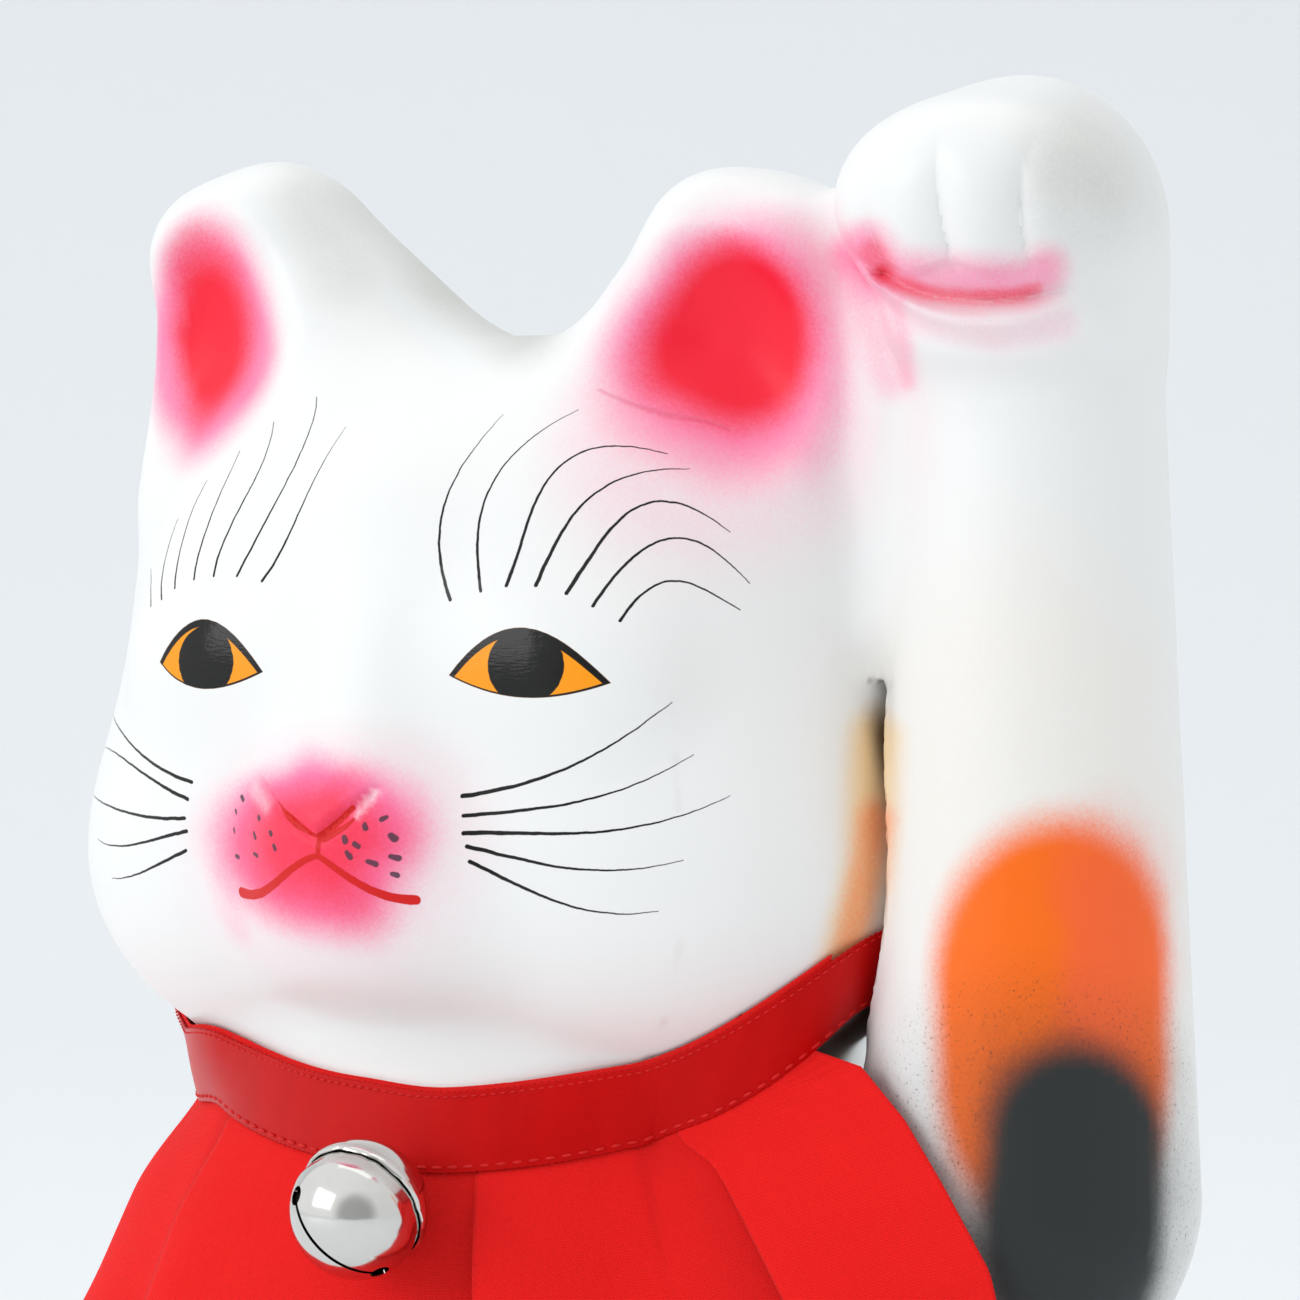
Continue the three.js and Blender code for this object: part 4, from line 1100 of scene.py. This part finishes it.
class MANEKI_OT_ribbon(bpy.types.Operator):
    """Make the satin ribbon and its two rows of stitches"""
    bl_idname = "maneki.ribbon"
    bl_label = "Satin ribbon"

    def execute(self, context):
        settings = context.scene.maneki_collar
        height = settings.ribbon_height / MM
        collar = Collar(height)
        columns = 1080
        angles = np.linspace(-180, 180, columns, endpoint=False)
        middle = collar.line(angles, 0.5, 0.5)
        along = arc_lengths(middle)
        downs = np.array([0.0, 0.012, 0.03, 0.1, 0.25, 0.4, 0.6, 0.75, 0.9, 0.97, 0.988, 1.0])
        rows = []
        for down in downs:
            loops = 0.012 * np.sin(along * 2 * math.pi / 1.25) * (down in (0.0, 1.0))
            slack = 0.16 * np.sin(along / 7.3 + 2.2 * down) * np.sin(along / 17.1 + down)
            crown = 0.3 + 0.22 * math.sin(math.pi * down)
            rows.append(collar.line(angles, down + loops, crown + slack))
        points = np.concatenate(rows)
        satin = build_satin(settings)
        ribbon = piece_of("satin_ribbon", points, grid_faces(len(downs), columns, ring=True), satin)
        unwrap_grid(ribbon, [(a, d * height) for d in downs for a in along])
        finish_cloth(ribbon, 0.35)

        thread = build_thread(settings)
        stitches = self.stitches(collar, settings.stitch_pitch / MM, thread)
        stand_for(ribbon, "satin", "ribbon")
        stand_for(stitches, "satin")
        return {"FINISHED"}

    @staticmethod
    def stitches(collar, pitch, thread):
        """A running stitch near the bottom edge and a finer one under the top edge."""
        alone()
        bpy.ops.mesh.primitive_uv_sphere_add(segments=8, ring_count=6, radius=1)
        model = bpy.context.active_object
        shape = np.array([v.co for v in model.data.vertices])
        kinds = [tuple(f.vertices) for f in model.data.polygons]
        bpy.data.objects.remove(model)
        fine = np.linspace(-180, 180, 2401)
        points, polygons = [], []
        for down, step, size in ((0.93, pitch, (1.0, 0.30, 0.30)), (0.06, pitch * 0.6, (0.6, 0.18, 0.18))):
            path = collar.line(fine, down, 0.62)
            along = arc_lengths(path)
            for centre in np.arange(step / 2, along[-1], step):
                at = np.array([np.interp(centre, along, path[:, d]) for d in range(3)])
                ahead = np.array([np.interp(centre + 0.5, along, path[:, d]) for d in range(3)]) - at
                ahead /= np.linalg.norm(ahead)
                out = np.array([at[0], at[1] - NECK_AXIS_Y, 0.0])
                out -= ahead * (out @ ahead)
                out /= np.linalg.norm(out)
                up = np.cross(ahead, out)
                polygons += [tuple(i + len(points) * len(shape) for i in kind) for kind in kinds]
                local = shape * (size[0], size[1], size[2])
                points.append(at + local[:, :1] * ahead + local[:, 1:2] * out + local[:, 2:] * up)
        mesh = bpy.data.meshes.new("collar_stitches")
        mesh.from_pydata((np.concatenate(points) * MM).tolist(), [], polygons)
        mesh.materials.append(thread)
        mesh.shade_smooth()
        piece = bpy.data.objects.new("collar_stitches", mesh)
        bpy.context.scene.collection.objects.link(piece)
        return piece


def pleated(share_down, columns):
    """Angles, lifts and painted shadow along the cloth: each fold runs under its edge, back, and on over the
    top, and the plain cloth is painted darker just before the edge and under it.
    """
    angle, lift, shade = [], [], []
    edges = [fold + 5.0 * share_down for fold in BIB_FOLDS]
    tuck = 5.0
    start = BIB_FROM
    for edge in edges:
        plain = np.linspace(0, 1, columns)
        angle.append(start + (edge + tuck - start) * plain)
        lift.append(1.0 - 1.0 * smoothstep(plain, 0.0, 0.6))
        shade.append(smoothstep(plain, 0.66, 0.9))
        back = np.linspace(0, 1, columns // 3 + 2)[1:-1]
        angle.append(edge + tuck - tuck * smoothstep(back, 0, 1))
        lift.append(0.6 * smoothstep(back, 0, 1))
        shade.append(np.ones(len(back)))
        start = edge
    plain = np.linspace(0, 1, columns)
    angle.append(start + (BIB_TO - start) * plain)
    lift.append(1.0 - 0.9 * smoothstep(plain, 0.0, 0.7))
    shade.append(np.zeros(columns))
    return np.concatenate(angle), np.concatenate(lift), np.concatenate(shade)


def hull(reach, downs):
    """Cloth pulled straight over hollows: the least line over each column that never bends inwards."""
    over = reach.copy()
    for i, j in itertools.combinations(range(len(downs)), 2):
        share = ((downs[i + 1:j] - downs[i]) / (downs[j] - downs[i]))[:, None]
        over[i + 1:j] = np.maximum(over[i + 1:j], reach[i] + (reach[j] - reach[i]) * share)
    return over


def toward_hem(angle, row, start, end, down):
    """Swings the columns past HEM_FROM out to the right hem, which lies across the shoulder."""
    share = np.clip((angle - HEM_FROM) / (BIB_TO - HEM_FROM), 0, 1)[:, None]
    ease = smoothstep(down, 0, 0.15 * (1 - share) + 0.001) * (share > 0)
    swung = row + (start + (end - start) * share - row) * ease
    for _ in range(8):
        swung[:, 1] -= np.where(share[:, 0] > 0, np.maximum(1.0 + 1.5 * down - drape_depth(swung), 0), 0)
    return swung


# Where the right hem runs, from the ribbon down over the shoulder, and the angle where the cloth turns to it.
HEM = ((79.5, -25.0, 236.0), (85.0, -30.0, 231.0), (94.8, -33.0, 223.0), (103.2, -35.6, 213.0),
       (111.6, -35.4, 199.5), (118.0, -32.0, 168.0))
HEM_FROM = 50.0


class MANEKI_OT_bib(bpy.types.Operator):
    """Make the pleated cotton bib"""
    bl_idname = "maneki.bib"
    bl_label = "Pleated bib"

    def execute(self, context):
        settings = context.scene.maneki_collar
        collar = Collar(settings.ribbon_height / MM)
        drop = settings.bib_drop / MM
        columns = 56
        rows = []
        tops = np.linspace(-0.05, 1.0, 5)
        downs = np.linspace(0, 1, 44)[1:]
        edge_end = float(collar.line(BIB_TO, 1.0, 0.0)[2])
        angle, lift, shade = pleated(0.0, columns)
        pleat_shadow_rows = [0 * shade] * len(tops)
        for top in tops:
            rows.append(collar.line(angle, top, -0.75 + 0.25 * lift))
        coarse = np.linspace(BIB_FROM - 2, BIB_TO + 12, 120)
        edge = collar.line(coarse, 1.0, 0.0)
        reach = [length(edge[:, :2] - (0, NECK_AXIS_Y)) - 0.75]
        for down in downs:
            reach.append(reach_of(drape_depth, coarse, edge[:, 2] - drop * down, 1.0 + 2.2 * down))
        reach = hull(np.array(reach), np.append(0.0, downs))[1:]
        for down, hang in zip(downs, reach):
            angle, lift, shade = pleated(down, columns)
            # The painted shadow by the folded edges grows darker towards the hem.
            pleat_shadow_rows.append(shade * (0.35 + 0.65 * down))
            z = collar.line(angle, 1.0, 0.0)[:, 2] - drop * down
            lifted = lift * (0.6 + 4.0 * smoothstep(down, 0.0, 0.3))
            swag = 0.9 * np.cos(angle / 5.2 + 0.8) * smoothstep(down, 0.08, 0.7)
            swag -= 2.2 * smoothstep(-angle, 30, 60) * smoothstep(down, 0.12, 0.6)
            ripple = 0.5 * np.sin(angle / 4.1 + 3 * down) * np.sin(down * 5 + angle / 9)
            ripple *= smoothstep(down, 0.1, 0.6)
            row = around(angle, np.interp(angle, coarse, hang) + ripple + swag, z)
            start = around(HEM_FROM, np.interp(HEM_FROM, coarse, hang),
                           np.interp(HEM_FROM, coarse, edge[:, 2]) - drop * down)
            below = edge_end - drop * down
            end = [np.interp(-below, [-h[2] for h in HEM], [h[axis] for h in HEM]) for axis in (0, 1)]
            row = toward_hem(angle, row, start, np.array(end + [below]), down)
            outward = np.radians(np.minimum(angle, HEM_FROM))
            outward = np.stack([np.sin(outward), -np.cos(outward), 0 * angle], axis=1)
            rows.append(row + lifted[:, None] * outward)
        points = np.concatenate(rows)
        width = arc_lengths(rows[len(rows) // 2])
        ribbon = settings.ribbon_height / MM
        depth = np.concatenate([tops * ribbon, ribbon + downs * drop])
        cotton = build_cotton(settings)
        bib = piece_of("pleated_bib", points, grid_faces(len(rows), len(width)), cotton)
        unwrap_grid(bib, [(w, d) for d in depth for w in width])
        write_reading(bib, "pleat_shadow", np.concatenate(pleat_shadow_rows))
        finish_cloth(bib, 0.45)
        stand_for(bib, "cotton", "bib")
        return {"FINISHED"}


# The bell

BELL_CENTRE = (8.2, -67.6, 205.2)


def seat_bell(piece):
    """Turns the bell from its upright modelling place to where it hangs, and writes that into the mesh."""
    spin = Matrix.Rotation(math.radians(48.7), 4, "Z")
    droop = Matrix.Rotation(math.radians(-(90 - 26.5)), 4, "X")
    piece.data.transform(Matrix.Translation(Vector(BELL_CENTRE) * MM) @ droop @ spin)
    piece.data.update()


def turned(name, profile, material):
    """Spins an outline of (radius, height) pairs about the upright axis and gives it the metal."""
    mesh = bpy.data.meshes.new(name)
    mesh.from_pydata([(r, 0, h) for r, h in profile], [(n, n + 1) for n in range(len(profile) - 1)], [])
    piece = bpy.data.objects.new(name, mesh)
    bpy.context.scene.collection.objects.link(piece)
    focus(piece)
    bpy.ops.object.mode_set(mode="EDIT")
    bpy.ops.mesh.select_all(action="SELECT")
    bpy.ops.mesh.spin(steps=120, angle=2 * math.pi, center=(0, 0, 0), axis=(0, 0, 1))
    bpy.ops.mesh.select_all(action="SELECT")
    bpy.ops.mesh.remove_doubles(threshold=1e-6)
    bpy.ops.mesh.normals_make_consistent(inside=False)
    bpy.ops.object.mode_set(mode="OBJECT")
    mesh.materials.append(material)
    return piece


def arc(radius, start, end, rise, count=28):
    """An arc as (radius, height) pairs: 0 degrees points straight down."""
    angles = np.radians(np.linspace(start, end, count))
    return [(max(radius * math.sin(a), 0.0), rise - radius * math.cos(a)) for a in angles]


def cut_away(piece, tool):
    cut = piece.modifiers.new("cut", "BOOLEAN")
    cut.operation = "DIFFERENCE"
    cut.object = tool
    cut.solver = "EXACT"
    apply_modifiers(piece)
    bpy.data.objects.remove(tool)


class MANEKI_OT_bell(bpy.types.Operator):
    """Make the two cups of the pressed jingle bell"""
    bl_idname = "maneki.bell"
    bl_label = "Jingle bell"

    def execute(self, context):
        settings = context.scene.maneki_bell
        nickel = build_nickel(settings)
        radius, wall = settings.radius, settings.wall
        inner = radius - wall
        dome = arc(radius, 0, 78, 0.0)
        neck = [(radius * 0.965, -0.0005), (radius * 0.945, 0.0012), (radius * 0.94, 0.0027)]
        lining = [(r - wall, h) for r, h in reversed(neck)] + list(reversed(arc(inner, 0, 78, 0.0)))
        front = turned("bell_front", dome + neck + lining, nickel)
        reach = 2 * radius * math.sin(math.radians(55))
        alone()
        bpy.ops.mesh.primitive_cube_add(size=1, location=(0, 0, -radius), scale=(reach, 0.75 * MM, radius))
        cut_away(front, bpy.context.active_object)
        for side in (1, -1):
            alone()
            lean = side * math.radians(55)
            at = (-math.sin(lean) * radius, 0, -math.cos(lean) * radius)
            bpy.ops.mesh.primitive_cylinder_add(vertices=32, radius=1.7 * MM, depth=radius, location=at,
                                                rotation=(0, lean, 0))
            cut_away(front, bpy.context.active_object)
        shell = radius + 0.3 * MM
        lip = [(0.965, 0.0030), (0.955, 0.0019), (0.965, 0.0016), (0.985, 0.0015), (1.005, 0.0017),
               (1.012, 0.0022), (1.008, 0.0029), (0.995, 0.0034)]
        lip = [(radius * share, h) for share, h in lip]
        cup = arc(shell, 108, 180, 0.3 * MM)
        lining = list(reversed(arc(shell - wall, 108, 180, 0.3 * MM)))
        back = turned("bell_back", lip + cup + lining + lip[:1], nickel)
        for vertex in back.data.vertices:
            x, y, h = vertex.co
            if h < 0.0032:
                turn = math.atan2(y, x)
                ripple = 0.10 * math.sin(9 * turn) + 0.06 * math.sin(17 * turn + 1)
                ripple += 0.04 * math.sin(29 * turn)
                vertex.co.z += ripple * MM
                inward = 1 - 0.008 * max(0.0, math.sin(11 * turn + 0.5)) * (h < 0.0021)
                vertex.co.x, vertex.co.y = x * inward, y * inward
        alone()
        bpy.ops.mesh.primitive_torus_add(major_segments=40, minor_segments=10,
                                         location=(0, 0, radius + 0.9 * MM),
                                         major_radius=1.4 * MM, minor_radius=0.42 * MM,
                                         rotation=(math.pi / 2, 0, math.radians(90 - 48.7)))
        loop = bpy.context.active_object
        focus(back)
        loop.select_set(True)
        bpy.ops.object.join()
        for cup, node in ((front, "bell_front_cup"), (back, "bell_back_cup")):
            focus(cup)
            bpy.ops.object.transform_apply(location=True, rotation=True, scale=True)
            cup.data.materials.clear()
            cup.data.materials.append(nickel)
            bpy.ops.object.shade_smooth_by_angle(angle=math.radians(40))
            seat_bell(cup)
            stand_for(cup, "bell_metal", node)
        return {"FINISHED"}


# Stage

class MANEKI_OT_stage(bpy.types.Operator):
    """Set the camera, the pale backdrop and the soft lights"""
    bl_idname = "maneki.stage"
    bl_label = "Stage"

    def execute(self, context):
        scene = context.scene
        settings = scene.maneki_stage
        scene.view_settings.view_transform = "Standard"

        camera = bpy.data.objects.new("camera", bpy.data.cameras.new("camera"))
        camera.data.lens = 110.8
        camera.data.sensor_width = 36.0
        turn, rise = math.radians(30), math.radians(2.7)
        back = Vector((math.sin(turn) * math.cos(rise), -math.cos(turn) * math.cos(rise), math.sin(rise)))
        camera.location = Vector((0.02005, 0.01157, 0.298)) + back * 0.741
        camera.rotation_euler = (-back).to_track_quat("-Z", "Y").to_euler()
        scene.collection.objects.link(camera)
        scene.camera = camera

        paper, nodes, shader = new_material("pale paper")
        grain = nodes.noise(nodes.add("ShaderNodeTexCoord").outputs["Object"], 3.0, 2.0)
        colour = nodes.mix(nodes.math("MULTIPLY", grain, 0.3), tuple(settings.backdrop),
                           tuple(c * 0.97 for c in settings.backdrop))
        nodes.feed(shader.inputs["Base Color"], colour)
        shader.inputs["Roughness"].default_value = 0.9
        rows = []
        for step in range(33):
            bend = min(max((step - 10) / 12, 0), 1) * math.pi / 2
            if step <= 10:
                y, z = -2.6 + 4.2 * step / 10, 0.0
            elif step <= 22:
                y, z = 1.6 + 0.9 * math.sin(bend), 0.9 - 0.9 * math.cos(bend)
            else:
                y, z = 2.5, 0.9 + 2.6 * (step - 22) / 10
            rows += [(x / MM, y / MM, z / MM - 0.5) for x in (-3.2, 0.0, 3.2)]
        faces = [tuple(reversed(face)) for face in grid_faces(33, 3)]
        sweep = piece_of("backdrop", rows, faces, paper)
        sweep.data.transform(Matrix.Rotation(math.radians(30), 4, "Z"))

        world = bpy.data.worlds.new("studio")
        scene.world = world
        world.use_nodes = True
        sky = Nodes(world.node_tree)
        air = world.node_tree.nodes["Background"]
        toward = sky.add("ShaderNodeTexCoord").outputs["Generated"]
        front = sky.ramp(sky.vector("DOT_PRODUCT", toward, (0.5, -0.865, 0.06)), 0.74, 0.95)
        side = sky.ramp(sky.vector("DOT_PRODUCT", toward, (-0.80, -0.38, 0.46)), -0.9, 0.9)
        level = sky.math("MULTIPLY_ADD", side, settings.side_light, 1.0 - settings.side_light / 2)
        level = sky.math("MULTIPLY", level, sky.math("MULTIPLY_ADD", front, -0.5, 1.0))
        sky.feed(air.inputs["Strength"], sky.math("MULTIPLY", level, settings.ambience))
        air.inputs["Color"].default_value = (0.975, 0.99, 1.0, 1)

        def soft_box(name, place, size, power, colour):
            light = bpy.data.objects.new(name, bpy.data.lights.new(name, "AREA"))
            light.data.shape = "RECTANGLE"
            light.data.size, light.data.size_y = size
            light.data.energy = power
            light.data.color = colour
            light.location = place
            aim = Vector((0.02, 0.0, 0.28)) - light.location
            light.rotation_euler = aim.to_track_quat("-Z", "Y").to_euler()
            scene.collection.objects.link(light)

        power = settings.key_power
        soft_box("window", (-0.98, -1.7, 0.96), (1.3, 0.85), power, (1.0, 1.0, 1.0))
        soft_box("top", (0.0, 0.3, 2.1), (1.8, 1.4), power * 0.4, (1.0, 1.0, 1.0))
        return {"FINISHED"}


class MANEKI_PT_panel(bpy.types.Panel):
    """Lists the figure's parts in the sidebar"""
    bl_label = "Maneki-neko"
    bl_idname = "MANEKI_PT_panel"
    bl_space_type = "VIEW_3D"
    bl_region_type = "UI"
    bl_category = "Maneki-neko"

    def draw(self, context):
        for operator in STEPS:
            self.layout.operator(operator.bl_idname)
        for name in SETTINGS:
            group = getattr(context.scene, name)
            for key in group.__annotations__:
                self.layout.prop(group, key)


SETTINGS = {
    "maneki_clay": ClaySettings, "maneki_collar": CollarSettings, "maneki_bell": BellSettings,
    "maneki_stage": StageSettings,
}
STEPS = (MANEKI_OT_stage, MANEKI_OT_cat, MANEKI_OT_bib, MANEKI_OT_ribbon, MANEKI_OT_bell)


def register():
    for name, group in SETTINGS.items():
        bpy.utils.register_class(group)
        setattr(bpy.types.Scene, name, bpy.props.PointerProperty(type=group))
    for step in STEPS:
        bpy.utils.register_class(step)
    bpy.utils.register_class(MANEKI_PT_panel)


def unregister():
    bpy.utils.unregister_class(MANEKI_PT_panel)
    for step in reversed(STEPS):
        bpy.utils.unregister_class(step)
    for name, group in SETTINGS.items():
        delattr(bpy.types.Scene, name)
        bpy.utils.unregister_class(group)


def main():
    register()
    build_weave()
    for step in STEPS:
        group, name = step.bl_idname.split(".")
        getattr(getattr(bpy.ops, group), name)()
    alone()


if __name__ == "__main__":
    main()
